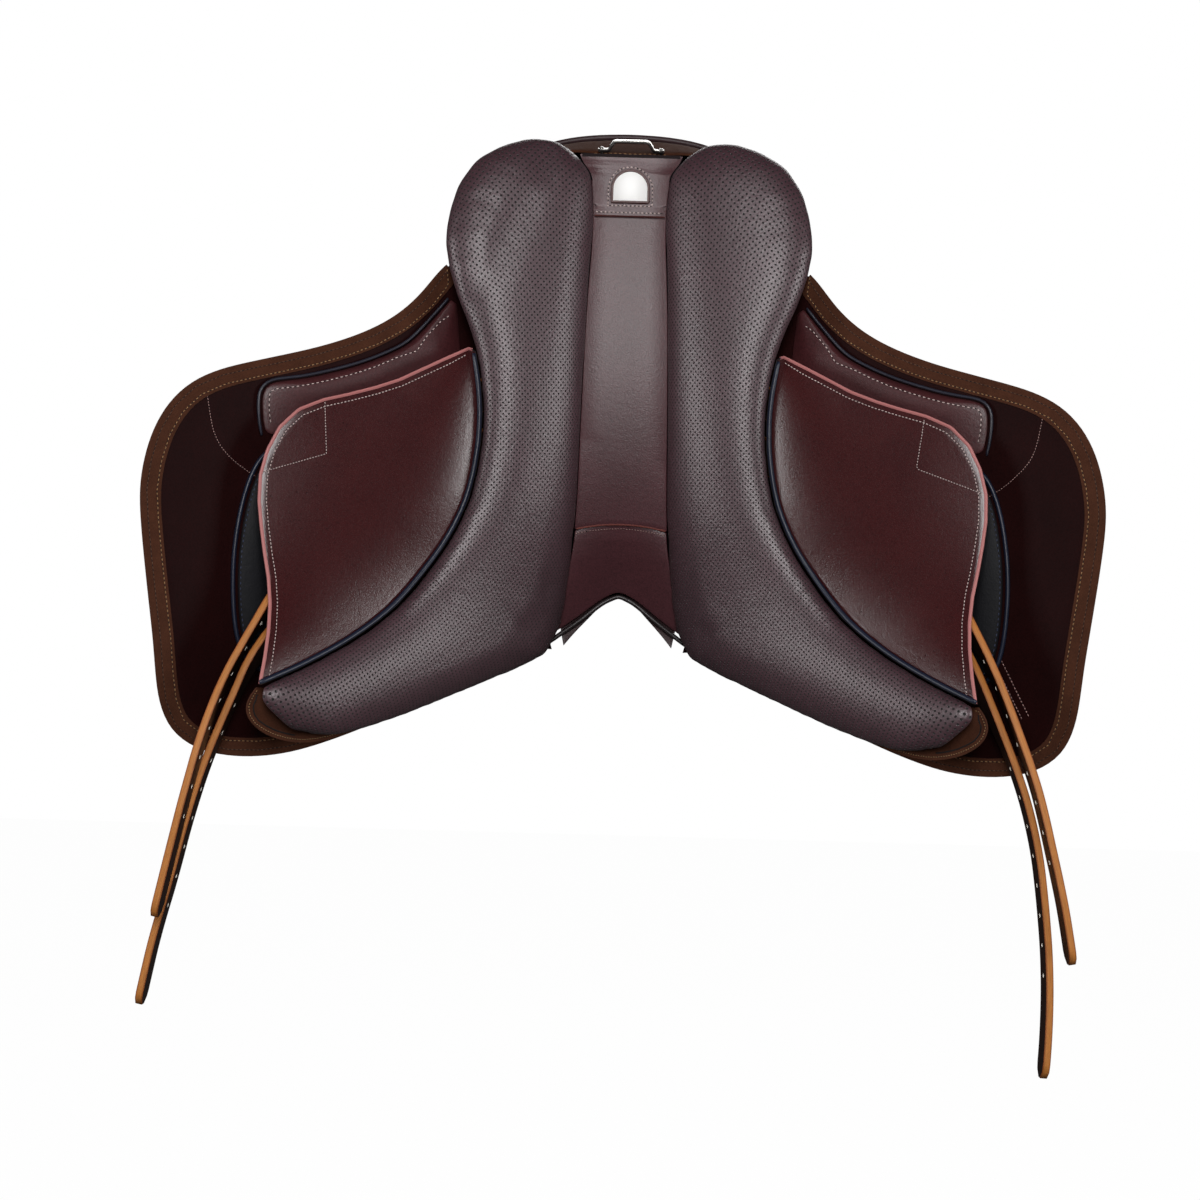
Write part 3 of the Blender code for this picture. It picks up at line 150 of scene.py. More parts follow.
# Stitched lines on the hides, as (x, z) on the saddle
PATCH_LINES = {
    "left": ((-0.2728, -0.0140), (-0.2697, -0.0603), (-0.3250, -0.0795)),
    "right": ((0.2718, -0.0152), (0.2657, -0.0590), (0.3235, -0.0810)),
}
FLAP_ARCS = {
    "left": (
        (-0.3775, -0.0020), (-0.3702, -0.0433), (-0.3570, -0.0653), (-0.3323, -0.0835), (-0.300, -0.100)
    ),
    "right": (
        (0.3764, -0.0050), (0.3684, -0.0451), (0.3511, -0.0680), (0.3336, -0.0820), (0.300, -0.105)
    ),
}
FLAP_DOUBLE_LINE = ((0.3431, -0.2344), (0.3669, -0.2832))
DOUBLE_LINE_GAP = 0.0055
SEAT_SEAM_SHARE = 0.60
SEAT_SEAM_GAP = 0.035


def linear(code):
    """An sRGB hex colour as the linear colour that a shader takes."""
    parts = [int(code[i:i + 2], 16) / 255 for i in (1, 3, 5)]
    return [p / 12.92 if p <= 0.04045 else ((p + 0.055) / 1.055) ** 2.4 for p in parts] + [1.0]


def add_node(tree, kind, inputs=None, **settings):
    """Adds a shader node with its settings; an input is a value or a socket to link."""
    node = tree.nodes.new("ShaderNode" + kind)
    for key, value in settings.items():
        setattr(node, key, value)
    for socket, value in (inputs or {}).items():
        if isinstance(value, bpy.types.NodeSocket):
            tree.links.new(value, node.inputs[socket])
        else:
            node.inputs[socket].default_value = value
    return node


def new_material(name, colour, roughness, specular, metallic=0.0):
    """A material with a Principled shader, and its tree and shader for what follows."""
    material = bpy.data.materials.new(name)
    material.use_nodes = True
    tree = material.node_tree
    shader = tree.nodes["Principled BSDF"]
    shader.inputs["Base Color"].default_value = linear(colour)
    shader.inputs["Roughness"].default_value = roughness
    shader.inputs["Metallic"].default_value = metallic
    shader.inputs["Specular IOR Level"].default_value = specular
    return material, tree, shader


def wired(tree, shader, **sockets):
    """Links sockets to a shader's inputs, each named by its words joined with underscores."""
    for name, socket in sockets.items():
        tree.links.new(socket, shader.inputs[name.replace("_", " ")])


def perforation(tree):
    """Distance in metres from each point of the leather to its nearest punched hole."""
    flat = add_node(tree, "UVMap", uv_map="flat").outputs["UV"]
    distances = []
    for shift in (0.0, 0.5):
        cell = add_node(tree, "VectorMath", {0: flat, 1: (1 / HOLE_PITCH,) * 3}, operation="MULTIPLY")
        moved = add_node(tree, "VectorMath", {0: cell.outputs[0], 1: (shift, shift, 0)}, operation="ADD")
        part = add_node(tree, "VectorMath", {0: moved.outputs[0]}, operation="FRACTION")
        centred = add_node(tree, "VectorMath", {0: part.outputs[0], 1: (0.5, 0.5, 0)}, operation="SUBTRACT")
        reach = add_node(tree, "VectorMath", {0: centred.outputs[0]}, operation="LENGTH")
        distances.append(reach.outputs["Value"])
    nearest = add_node(tree, "Math", {0: distances[0], 1: distances[1]}, operation="MINIMUM")
    return add_node(tree, "Math", {0: nearest.outputs[0], 1: HOLE_PITCH}, operation="MULTIPLY").outputs[0]


def leather(name, colour, shade, grain_mm, roughness, relief_mm, specular, punched=False):
    """Grained hide: cloudy dye, rounded grain with darker furrows, and a roughness that follows it; punched
    holes are painted near black as shade.
    """
    material, tree, shader = new_material(name, colour, roughness, specular)
    place = add_node(tree, "TexCoord").outputs["Object"]
    cloud = add_node(tree, "TexNoise", {"Vector": place, "Scale": 22.0, "Detail": 4.0, "Roughness": 0.6})
    dye = add_node(
        tree, "Mix", {"Factor": cloud.outputs["Fac"], 6: linear(shade), 7: linear(colour)}, data_type="RGBA"
    )
    grain = add_node(
        tree, "TexVoronoi", {"Vector": place, "Scale": 1000 / grain_mm, "Randomness": 1.0},
        feature="SMOOTH_F1",
    )
    pore = add_node(
        tree, "TexNoise", {"Vector": place, "Scale": 2400 / grain_mm, "Detail": 2.0, "Roughness": 0.7}
    )
    crease = add_node(
        tree, "TexNoise", {"Vector": place, "Scale": 260 / grain_mm, "Detail": 3.0, "Distortion": 0.6}
    )
    grained = add_node(
        tree, "Math", {0: pore.outputs["Fac"], 1: 0.6, 2: grain.outputs["Distance"]}, operation="MULTIPLY_ADD"
    )
    height = add_node(
        tree, "Math", {0: crease.outputs["Fac"], 1: 1.6, 2: grained.outputs[0]}, operation="MULTIPLY_ADD"
    )
    furrow = add_node(
        tree, "MapRange",
        {"Value": grain.outputs["Distance"], "From Min": 0.25, "From Max": 0.8, "To Min": 1.0,
         "To Max": 0.62},
    )
    tinted = add_node(
        tree, "Mix", {"Factor": 1.0, 6: dye.outputs[2], 7: furrow.outputs["Result"]},
        data_type="RGBA", blend_type="MULTIPLY",
    )
    surface = tinted.outputs[2]
    bump = add_node(
        tree, "Bump", {"Height": height.outputs[0], "Strength": 1.0, "Distance": relief_mm / 1000},
        invert=True,
    )
    if punched:
        distance = perforation(tree)
        hole = add_node(
            tree, "MapRange",
            {"Value": distance, "From Min": HOLE_RADIUS * 0.8, "From Max": HOLE_RADIUS * 1.3,
             "To Min": 1.0, "To Max": 0.0},
            interpolation_type="SMOOTHSTEP",
        )
        # Painted shade: the inside of each punched hole is coloured near black to stand for the shadow in it
        hole_shade = add_node(
            tree, "Mix", {"Factor": hole.outputs["Result"], 6: surface, 7: linear("#050303")},
            data_type="RGBA",
        )
        surface = hole_shade.outputs[2]
        bump = add_node(
            tree, "Bump",
            {"Height": hole.outputs["Result"], "Strength": 1.0, "Distance": HOLE_DEPTH,
             "Normal": bump.outputs[0]},
            invert=True,
        )
    gloss = add_node(
        tree, "MapRange",
        {"Value": pore.outputs["Fac"], "From Min": 0.3, "From Max": 0.7,
         "To Min": roughness - 0.06, "To Max": roughness + 0.08},
    )
    shine = gloss.outputs["Result"]
    if punched:
        shine = add_node(tree, "Math", {0: shine, 1: hole.outputs["Result"]}, operation="MAXIMUM").outputs[0]
    wired(tree, shader, Base_Color=surface, Roughness=shine, Normal=bump.outputs[0])
    return material


def napped(name, colour, shade):
    """Suede: a matt nap brushed into lighter and darker patches, with a soft edge glow."""
    material, tree, shader = new_material(name, colour, 0.95, 0.15)
    place = add_node(tree, "TexCoord").outputs["Object"]
    patch = add_node(tree, "TexNoise", {"Vector": place, "Scale": 60.0, "Detail": 5.0, "Roughness": 0.7})
    nap = add_node(tree, "TexNoise", {"Vector": place, "Scale": 1400.0, "Detail": 2.0})
    mixed = add_node(
        tree, "Math", {0: patch.outputs["Fac"], 1: 0.7, 2: nap.outputs["Fac"]}, operation="MULTIPLY_ADD"
    )
    ramp = add_node(tree, "MapRange", {"Value": mixed.outputs[0], "From Min": 0.55, "From Max": 1.15})
    dye = add_node(
        tree, "Mix", {"Factor": ramp.outputs["Result"], 6: linear(shade), 7: linear(colour)}, data_type="RGBA"
    )
    bump = add_node(tree, "Bump", {"Height": nap.outputs["Fac"], "Strength": 0.8, "Distance": 0.0004})
    shader.inputs["Sheen Weight"].default_value = 0.2
    shader.inputs["Sheen Roughness"].default_value = 0.5
    shader.inputs["Sheen Tint"].default_value = linear(colour)
    wired(tree, shader, Base_Color=dye.outputs[2], Normal=bump.outputs[0])
    return material


def plain(name, colour, shade, roughness, scale_mm, relief_mm=0.05, metallic=0.0, specular=0.4):
    """A fine even surface: slight cloudiness and a faint texture of one scale."""
    material, tree, shader = new_material(name, colour, roughness, specular, metallic)
    place = add_node(tree, "TexCoord").outputs["Object"]
    texture = add_node(
        tree, "TexNoise", {"Vector": place, "Scale": 1000 / scale_mm, "Detail": 4.0, "Roughness": 0.6}
    )
    dye = add_node(
        tree, "Mix", {"Factor": texture.outputs["Fac"], 6: linear(shade), 7: linear(colour)}, data_type="RGBA"
    )
    bump = add_node(
        tree, "Bump", {"Height": texture.outputs["Fac"], "Strength": 1.0, "Distance": relief_mm / 1000}
    )
    gloss = add_node(
        tree, "MapRange",
        {"Value": texture.outputs["Fac"], "To Min": max(roughness - 0.05, 0.05), "To Max": roughness + 0.08},
    )
    wired(
        tree, shader, Base_Color=dye.outputs[2], Roughness=gloss.outputs["Result"], Normal=bump.outputs[0]
    )
    return material


def cut_edge(name, colour, border, thickness):
    """Cut edge of bridle leather: fibres run along it, and it darkens towards both faces."""
    material, tree, shader = new_material(name, colour, 0.55, 0.3)
    flat = add_node(tree, "UVMap", uv_map="strap").outputs["UV"]
    across = add_node(tree, "SeparateXYZ", {0: flat})
    off_middle = add_node(tree, "Math", {0: across.outputs["X"]}, operation="ABSOLUTE")
    burnt = add_node(
        tree, "MapRange",
        {"Value": off_middle.outputs[0], "From Min": thickness * 0.22, "From Max": thickness * 0.5},
        interpolation_type="SMOOTHSTEP",
    )
    stretched = add_node(tree, "VectorMath", {0: flat, 1: (1800.0, 60.0, 1.0)}, operation="MULTIPLY")
    fibre = add_node(tree, "TexNoise", {"Vector": stretched.outputs[0], "Scale": 1.0, "Detail": 3.0})
    dye = add_node(
        tree, "Mix", {"Factor": burnt.outputs["Result"], 6: linear(colour), 7: linear(border)},
        data_type="RGBA",
    )
    streak = add_node(
        tree, "MapRange", {"Value": fibre.outputs["Fac"], "From Min": 0.3, "From Max": 0.7, "To Min": 0.62}
    )
    tinted = add_node(
        tree, "Mix", {"Factor": 1.0, 6: dye.outputs[2], 7: streak.outputs["Result"]},
        data_type="RGBA", blend_type="MULTIPLY",
    )
    bump = add_node(tree, "Bump", {"Height": fibre.outputs["Fac"], "Strength": 1.0, "Distance": 0.00012})
    wired(tree, shader, Base_Color=tinted.outputs[2], Normal=bump.outputs[0])
    return material


# Perforated calf of the panel: purple brown, soft, with rows of punched dots whose insides are painted near
# black as shade
PANEL = leather("perforated_calf", "#4e323a", "#3a242a", 2.0, 0.44, 0.20, 0.90, punched=True)
# Smooth calf of the channel and the cap: a fine grain that catches a broad soft light
CALF = leather("channel_calf", "#552d33", "#422226", 1.3, 0.40, 0.10, 0.50)
# Sweat flap hide: waxed and almost even, burgundy brown
SWEAT = leather("sweat_flap_hide", "#43191a", "#321012", 1.3, 0.23, 0.06, 0.45)
# Flap hide: thick dark red brown leather with a tight grain
FLAP = leather("flap_hide", "#240a0a", "#160505", 1.2, 0.45, 0.06, 0.06)
# Seat hide: supple grained calf, a touch lighter than the flaps
SEAT = leather("seat_calf", "#3e2a2c", "#2c1c1e", 1.3, 0.46, 0.08, 0.35)
# Lining of the flap pad: soft calf over thin felt
LINING = leather("pad_lining_calf", "#4e2528", "#391a1c", 1.5, 0.40, 0.12, 0.40)
# Block cover: black grained goat
BLOCK = leather("black_goat", "#0d0d14", "#07070b", 1.5, 0.50, 0.10, 0.14)
# Piping: navy calf rolled over a cord, with a narrow sheen
PIPING = leather("navy_piping_calf", "#1c2338", "#121726", 0.9, 0.38, 0.04, 0.4)
# Piping of the flap pad: the same calf, worn to a dull slate
GREY_PIPING = leather("slate_piping_calf", "#2b2b38", "#1a1a24", 0.9, 0.36, 0.04, 0.45)
# Raw edge of the sweat flap: dyed salmon and rubbed smooth
RAW_EDGE = plain("salmon_cut_edge", "#b87674", "#985c5a", 0.50, 0.9)
# Bridle leather: waxed dark face, tan cut edge with the fibres showing, pale web core in the holes
BRIDLE = leather("bridle_leather_face", "#2f1a11", "#1e100b", 1.0, 0.42, 0.04, 0.25)
BRIDLE_EDGE = cut_edge("bridle_leather_edge", "#bd7838", "#8c4a1e", 0.0066)
CORE = plain("strap_web_core", "#f1ece4", "#d8d2c8", 0.8, 0.5)
# Suede of the flap bindings, the cantle facing and the toes: a matt nap with no gloss
SUEDE = napped("brown_suede", "#4e2d1e", "#331b11")
# Brown calf folded over the frame of the plate and the cap, a darker one over its top and round the arch
TRIM = leather("folded_trim_calf", "#5a2c28", "#3c1c1a", 0.9, 0.42, 0.04, 0.35)
DARK_TRIM = leather("dark_trim_calf", "#2c2224", "#1c1516", 0.9, 0.40, 0.04, 0.40)
FOLD = plain("folded_raw_edge", "#7a4038", "#5a2c28", 0.55, 0.6)
# Waxed linen threads, each as wide as it has to be to show, and a near-black cord of painted shade for the
# pricked line that they lie in
PALE_THREAD = plain("pale_waxed_thread", "#d6c2be", "#b09a96", 0.6, 0.5)
PINK_THREAD = plain("dusty_waxed_thread", "#b08a84", "#8c6a66", 0.6, 0.5)
TAN_THREAD = plain("tan_waxed_thread", "#a07a52", "#7c5a3a", 0.6, 0.5)
BROWN_THREAD = plain("brown_waxed_thread", "#5a3a26", "#452a1a", 0.6, 0.5)
NAVY_THREAD = plain("navy_waxed_thread", "#39435f", "#262d44", 0.6, 0.5)
# Painted shade: this near-black colour stands for the shadow in the pricked lines and in the toe's fold
GROOVE_SHADE = plain("painted_groove_shade", "#120a0a", "#0a0505", 0.8, 0.6)
# Nickel-plated steel: bright, slightly hazy from polishing
NICKEL = plain("nickel_plated_steel", "#d9d7d2", "#bdbab4", 0.17, 3.0, 0.005, 1.0, 0.5)
# Moulded tree: black glass-filled nylon
TREE = plain("moulded_nylon", "#1c1c1e", "#121214", 0.55, 1.2)
# Blank plate: white baked enamel
PLATE = plain("white_enamel", "#f6f5f3", "#efeeec", 0.3, 20.0, 0.01)
# Woven girth web: undyed tight weave
WEB = plain("woven_linen_web", "#b8a888", "#7e7058", 0.9, 1.0, 0.3)
# Seat foam: open-cell polyurethane
FOAM = plain("polyurethane_foam", "#cdbf9a", "#a3946e", 0.95, 0.9, 0.4)


def placed(name, data):
    """A new object in the scene, at the origin, that holds this data."""
    piece = bpy.data.objects.new(name, data)
    bpy.context.scene.collection.objects.link(piece)
    return piece


def none_selected():
    bpy.ops.object.select_all(action="DESELECT")


# Each seam's piping, its calf, and how much it is thickened to read as a rolled cord
PIPED = (("panel", PIPING, 0.0009), ("flap_pad", GREY_PIPING, 0.0003), ("block", PIPING, 0.0005))


def only(piece):
    none_selected()
    piece.select_set(True)
    bpy.context.view_layer.objects.active = piece


def in_edit(piece, *steps):
    """Runs mesh operators on the whole of a piece in edit mode."""
    only(piece)
    bpy.ops.object.mode_set(mode="EDIT")
    bpy.ops.mesh.select_mode(type="VERT")
    bpy.ops.mesh.select_all(action="SELECT")
    for operator, settings in steps:
        operator(**settings)
    bpy.ops.object.mode_set(mode="OBJECT")


def finish_with(piece, kind, **settings):
    """Adds a modifier and applies it."""
    only(piece)
    modifier = piece.modifiers.new(kind, kind)
    for key, value in settings.items():
        setattr(modifier, key, value)
    bpy.ops.object.modifier_apply(modifier=modifier.name)


def places_of(piece):
    return np.array([vertex.co[:] for vertex in piece.data.vertices])


def move_to(piece, places):
    piece.data.vertices.foreach_set("co", places.ravel())


def reach_to(places, line):
    """How far each place is from a line, seen along Y."""
    return np.sqrt(((places[:, None, [0, 2]] - line[None, :, [0, 2]]) ** 2).sum(axis=2)).min(axis=1)


def cad_copy(node, name):
    """A merged copy of a frame node, in quads where its triangles pair up."""
    piece = placed(name, frame["nodes"][node].data.copy())
    piece.data.materials.clear()
    only(piece)
    if piece.data.has_custom_normals:
        bpy.ops.mesh.customdata_custom_splitnormals_clear()
    in_edit(
        piece,
        (bpy.ops.mesh.remove_doubles, {"threshold": MERGE}),
        (bpy.ops.mesh.tris_convert_to_quads, {"face_threshold": QUAD_ANGLE, "shape_threshold": QUAD_ANGLE}),
    )
    return piece


def settle(piece, node, body):
    """Puts a finished piece on its body in place of its frame node."""
    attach(piece, body)
    if node:
        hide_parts(node)
    return piece


def rim_to(piece, material, side):
    """Gives the outer rim of a sheet its own material."""
    piece.data.materials.append(material)
    for face in piece.data.polygons:
        outward = face.normal.x * side + face.normal.z * RIM_LEAN
        if abs(face.normal.y) < RIM_FLATNESS and outward > 0:
            face.material_index = len(piece.data.materials) - 1


def chamfer_rim(piece, index, width):
    """Bevels the edge between the horse side and a rim into a band of the rim's material."""
    mesh = bmesh.new()
    mesh.from_mesh(piece.data)
    weight = mesh.edges.layers.float.new("bevel_weight_edge")
    for edge in mesh.edges:
        kinds = [(face.material_index, face.normal.y) for face in edge.link_faces]
        on_rim = any(kind == index for kind, _ in kinds)
        on_face = any(kind != index and lean < -0.6 for kind, lean in kinds)
        edge[weight] = float(on_rim and on_face)
    mesh.to_mesh(piece.data)
    mesh.free()
    finish_with(piece, "BEVEL", width=width, segments=2, limit_method="WEIGHT", material=index)


def dress(node, material, edge=EDGE_ROUND, levels=2, grow=0.0, shape=None, rim=None):
    """A frame node's shape with a smooth surface and rounded edges, in its real finish."""
    piece = cad_copy(node, f"{node}_dressed")
    piece.data.materials.append(material)
    if grow:
        in_edit(piece, (bpy.ops.transform.shrink_fatten, {"value": grow}))
    if rim:
        rim_to(piece, *rim)
    if edge and levels:
        in_edit(
            piece,
            (bpy.ops.mesh.select_all, {"action": "DESELECT"}),
            (bpy.ops.mesh.select_mode, {"type": "EDGE"}),
            (bpy.ops.mesh.edges_select_sharp, {"sharpness": SHARP}),
            (bpy.ops.transform.edge_crease, {"value": 1.0}),
        )
    if levels:
        finish_with(piece, "SUBSURF", levels=levels, render_levels=levels)
    if shape:
        shape(piece)
    if rim:
        chamfer_rim(piece, 1, RAW_EDGE_WIDTH)
    if edge:
        finish_with(
            piece, "BEVEL", width=edge, segments=2, limit_method="ANGLE", angle_limit=SHARP,
            use_clamp_overlap=True, miter_outer="MITER_ARC",
        )
    only(piece)
    bpy.ops.object.shade_smooth_by_angle(angle=SHARP)
    return settle(piece, node, BODY_OF[node])


def mesh_of(node):
    """A node's merged mesh, to measure."""
    copy = cad_copy(node, "measured")
    mesh = bmesh.new()
    mesh.from_mesh(copy.data)
    bpy.data.objects.remove(copy)
    return mesh


def neighbours(edges):
    """The corners beside each corner along these edges."""
    beside = {}
    for a, b in edges:
        beside.setdefault(a, []).append(b)
        beside.setdefault(b, []).append(a)
    return beside


def outline_of(node, outward):
    """The closed line round the side of a node that looks outward, as points in order."""
    mesh = mesh_of(node)
    facing = {face for face in mesh.faces if face.normal.dot(outward) > FACING}
    beside = neighbours(
        [vertex.index for vertex in edge.verts] for edge in mesh.edges
        if sum(face in facing for face in edge.link_faces) == 1
    )
    places = {vertex.index: np.array(vertex.co) for vertex in mesh.verts if vertex.index in beside}
    mesh.free()
    longest, length = [], 0.0
    left = set(beside)
    while left:
        line = [left.pop()]
        while True:
            ahead = [other for other in beside[line[-1]] if other in left]
            if not ahead:
                break
            line.append(ahead[0])
            left.discard(ahead[0])
        points = np.array([places[index] for index in line])
        size = np.linalg.norm(np.diff(points, axis=0), axis=1).sum()
        if size > length:
            longest, length = points, size
    return np.vstack([longest, longest[:1]])


def evenly(line, step):
    """The same line with points a step apart."""
    line = np.array(line, float)
    along = np.concatenate([[0], np.cumsum(np.linalg.norm(np.diff(line, axis=0), axis=1))])
    places = np.linspace(0, along[-1], max(int(along[-1] / step), 2))
    return np.column_stack([np.interp(places, along, line[:, k]) for k in range(line.shape[1])])


def drawn_in(loop, width):
    """A closed line moved inwards by a width, seen along Y."""
    flat = loop[:, [0, 2]]
    area = 0.5 * np.sum(flat[:-1, 0] * flat[1:, 1] - flat[1:, 0] * flat[:-1, 1])
    ahead = np.roll(flat[:-1], -1, axis=0) - np.roll(flat[:-1], 1, axis=0)
    ahead /= np.maximum(np.linalg.norm(ahead, axis=1), 1e-9)[:, None]
    inward = np.column_stack([-ahead[:, 1], ahead[:, 0]]) * np.sign(area)
    moved = loop[:-1].copy()
    moved[:, [0, 2]] += inward * width
    moved = moved[reach_to(moved, loop[:-1]) > width * 0.9]
    return np.vstack([moved, moved[:1]])


def stretch(loop, start, end, via):
    """The part of a closed line from one (x, z) to another that passes nearest to a third."""
    flat = loop[:-1, [0, 2]]
    first = int(np.argmin(np.linalg.norm(flat - start, axis=1)))
    last = int(np.argmin(np.linalg.norm(flat - end, axis=1)))
    count = len(flat)
    forward = [(first + k) % count for k in range((last - first) % count + 1)]
    backward = [(first - k) % count for k in range((first - last) % count + 1)]
    nearest = [np.linalg.norm(flat[way] - via, axis=1).min() for way in (forward, backward)]
    return loop[:-1][forward if nearest[0] <= nearest[1] else backward]


def smooth_line(points, count):
    """Points evenly spaced on a smooth curve through the given ones."""
    points = np.array(points, float)
    ends = np.vstack([2 * points[0] - points[1], points, 2 * points[-1] - points[-2]])
    fine = []
    for i in range(1, len(ends) - 2):
        before, start, end, after = ends[i - 1:i + 3]
        for t in np.linspace(0, 1, 8, endpoint=False):
            fine.append(
                0.5 * (2 * start + (end - before) * t + (2 * before - 5 * start + 4 * end - after) * t * t
                       + (3 * start - before - 3 * end + after) * t ** 3)
            )
    fine = np.vstack([fine, points[-1:]])
    along = np.concatenate([[0], np.cumsum(np.linalg.norm(np.diff(fine, axis=0), axis=1))])
    places = np.linspace(0, along[-1], count)
    return np.column_stack([np.interp(places, along, fine[:, k]) for k in range(fine.shape[1])])


def laid(line, piece, outward, lift=0.0):
    """A line of (x, z) or (x, y, z) dropped onto the outer face of a piece, and raised off it by a lift."""
    tree = BVHTree.FromPolygons(
        [vertex.co for vertex in piece.data.vertices], [face.vertices for face in piece.data.polygons]
    )
    points = []
    for place in line:
        place = Vector((place[0], 0, place[1])) if len(place) == 2 else Vector(place)
        hit, normal, _, _ = tree.ray_cast(place + outward * 0.3, -outward)
        if hit is None:
            hit, normal, _, _ = tree.find_nearest(place)
        points.append(hit + normal * lift)
    return points


def drawn_path(name, points, closed=False):
    data = bpy.data.curves.new(name, "CURVE")
    data.dimensions = "3D"
    spline = data.splines.new("POLY")
    spline.points.add(len(points) - 1)
    for point, place in zip(spline.points, points):
        point.co = (*place, 1)
    spline.use_cyclic_u = closed
    return placed(name, data)


def tube(name, points, radius, material, closed=False):
    """A round cord along points, as a mesh."""
    piece = drawn_path(name, points, closed)
    piece.data.bevel_depth = radius
    piece.data.bevel_resolution = 1
    piece.data.use_fill_caps = True
    only(piece)
    bpy.ops.object.convert(target="MESH")
    piece = bpy.context.active_object
    piece.data.materials.append(material)
    in_edit(piece, (bpy.ops.mesh.remove_doubles, {"threshold": MERGE}))
    bpy.ops.object.shade_smooth_by_angle(angle=SHARP)
    return piece


def saddle_cord(name, points, radius, material, closed=False):
    """A cord, a bead or a fold that stays on the saddle."""
    settle(tube(name, points, radius, material, closed), None, "saddle")


def stitches(name, line, piece, outward, body, thread, size, shade_cord=True):
    """A row of stitches on a piece, each a short rounded length of thread over a pricked line, whose shadow
    is painted by a sunk near-black cord.
    """
    pitch, length, radius = size
    points = laid(line, piece, outward, THREAD_LIFT) if piece else line
    path = drawn_path(name + "_path", points)
    none_selected()
    bpy.ops.mesh.primitive_uv_sphere_add(segments=6, ring_count=4, radius=1.0)
    row = bpy.context.active_object
    row.name = name
    in_edit(
        row,
        (bpy.ops.transform.rotate, {"value": math.pi / 2, "orient_axis": "Y", "center_override": (0, 0, 0)}),
        (bpy.ops.transform.resize, {"value": (length / 2, radius, radius)}),
    )
    row.data.materials.append(thread)
    finish_with(
        row, "ARRAY", fit_type="FIT_CURVE", curve=path, use_relative_offset=False,
        use_constant_offset=True, constant_offset_displace=(pitch, 0, 0),
    )
    finish_with(row, "CURVE", object=path, deform_axis="POS_X")
    bpy.data.objects.remove(path)
    only(row)
    bpy.ops.object.shade_smooth()
    # Painted shade: a near-black cord sunk under the thread stands for the shadow in the pricked line
    if shade_cord:
        below = laid(line, piece, outward, -GROOVE_SHADE_DEPTH) if piece else line
        shaded_groove = tube(name + "_line", below, GROOVE_SHADE_RADIUS, GROOVE_SHADE)
        only(row)
        shaded_groove.select_set(True)
        bpy.ops.object.join()
    return settle(row, None, body)


def flattened(piece, outward):
    """A flat pattern of the leather in metres, cut along the line round its outer face."""
    only(piece)
    bpy.ops.object.mode_set(mode="EDIT")
    bpy.ops.mesh.select_all(action="DESELECT")
    bpy.ops.object.mode_set(mode="OBJECT")
    for face in piece.data.polygons:
        face.select = face.normal.dot(outward) > -FACING
    bpy.ops.object.mode_set(mode="EDIT")
    bpy.ops.mesh.select_mode(type="FACE")
    bpy.ops.mesh.region_to_loop()
    bpy.ops.mesh.mark_seam(clear=False)
    bpy.ops.mesh.select_mode(type="FACE")
    bpy.ops.mesh.select_all(action="SELECT")
    bpy.ops.uv.unwrap(method="ANGLE_BASED", margin=0.02)
    bpy.ops.object.mode_set(mode="OBJECT")
    layer = piece.data.uv_layers.active
    layer.name = "flat"
    uv = np.zeros(len(piece.data.loops) * 2)
    layer.data.foreach_get("uv", uv)
    uv = uv.reshape(-1, 2)
    corners = places_of(piece)[[loop.vertex_index for loop in piece.data.loops]]
    front = np.zeros(len(uv), bool)
    for face in piece.data.polygons:
        if face.normal.dot(outward) > -FACING:
            front[list(face.loop_indices)] = True
    starts = np.array([face.loop_start for face in piece.data.polygons])
    for part in (front, ~front):
        if not part.any():
            continue
        pattern = uv[part] - uv[part].mean(axis=0)
        seen = corners[part][:, [0, 2]]
        left, _, right = np.linalg.svd(pattern.T @ (seen - seen.mean(axis=0)))
        own = starts[part[starts]]
        real = np.linalg.norm(corners[own] - corners[own + 1], axis=1).sum()
        drawn = np.linalg.norm(uv[own] - uv[own + 1], axis=1).sum()
        uv[part] = pattern @ left @ right * real / drawn
    layer.data.foreach_set("uv", uv.ravel())


def filled(piece, seams, pressure, swell):
    """Lets the filling push the cover out between its seams, no further than a swell."""
    rest = places_of(piece)
    group = piece.vertex_groups.new(name="seams")
    group.add([int(index) for index in np.flatnonzero(seams)], 1.0, "REPLACE")
    only(piece)
    modifier = piece.modifiers.new("Filling", "CLOTH")
    modifier.settings.vertex_group_mass = "seams"
    modifier.settings.use_pressure = True
    modifier.settings.uniform_pressure_force = pressure
    modifier.settings.effector_weights.gravity = 0.0
    modifier.settings.quality = 5
    modifier.point_cache.frame_end = SETTLE_FRAMES
    scene = bpy.context.scene
    for moment in range(1, SETTLE_FRAMES + 1):
        scene.frame_set(moment)
    evaluated = piece.evaluated_get(bpy.context.evaluated_depsgraph_get())
    moved = np.array([vertex.co[:] for vertex in evaluated.data.vertices])
    piece.modifiers.remove(modifier)
    scene.frame_set(1)
    step = moved - rest
    size = np.linalg.norm(step, axis=1)
    step *= (np.minimum(size, swell) / np.maximum(size, 1e-9))[:, None]
    move_to(piece, rest + step)
    piece.vertex_groups.remove(group)


def crowned(piece, loop):
    """Rounds a cushion further towards the horse, from its seams up to its shoulder."""
    places = places_of(piece)
    share = np.clip(reach_to(places, evenly(loop, LINE_STEP)) / CUSHION_SHOULDER, 0, 1)
    facing = np.clip([-vertex.normal.y for vertex in piece.data.vertices], 0, 1)
    places[:, 1] -= CUSHION_CROWN * (1 - (1 - share) ** 2) * facing
    move_to(piece, places)


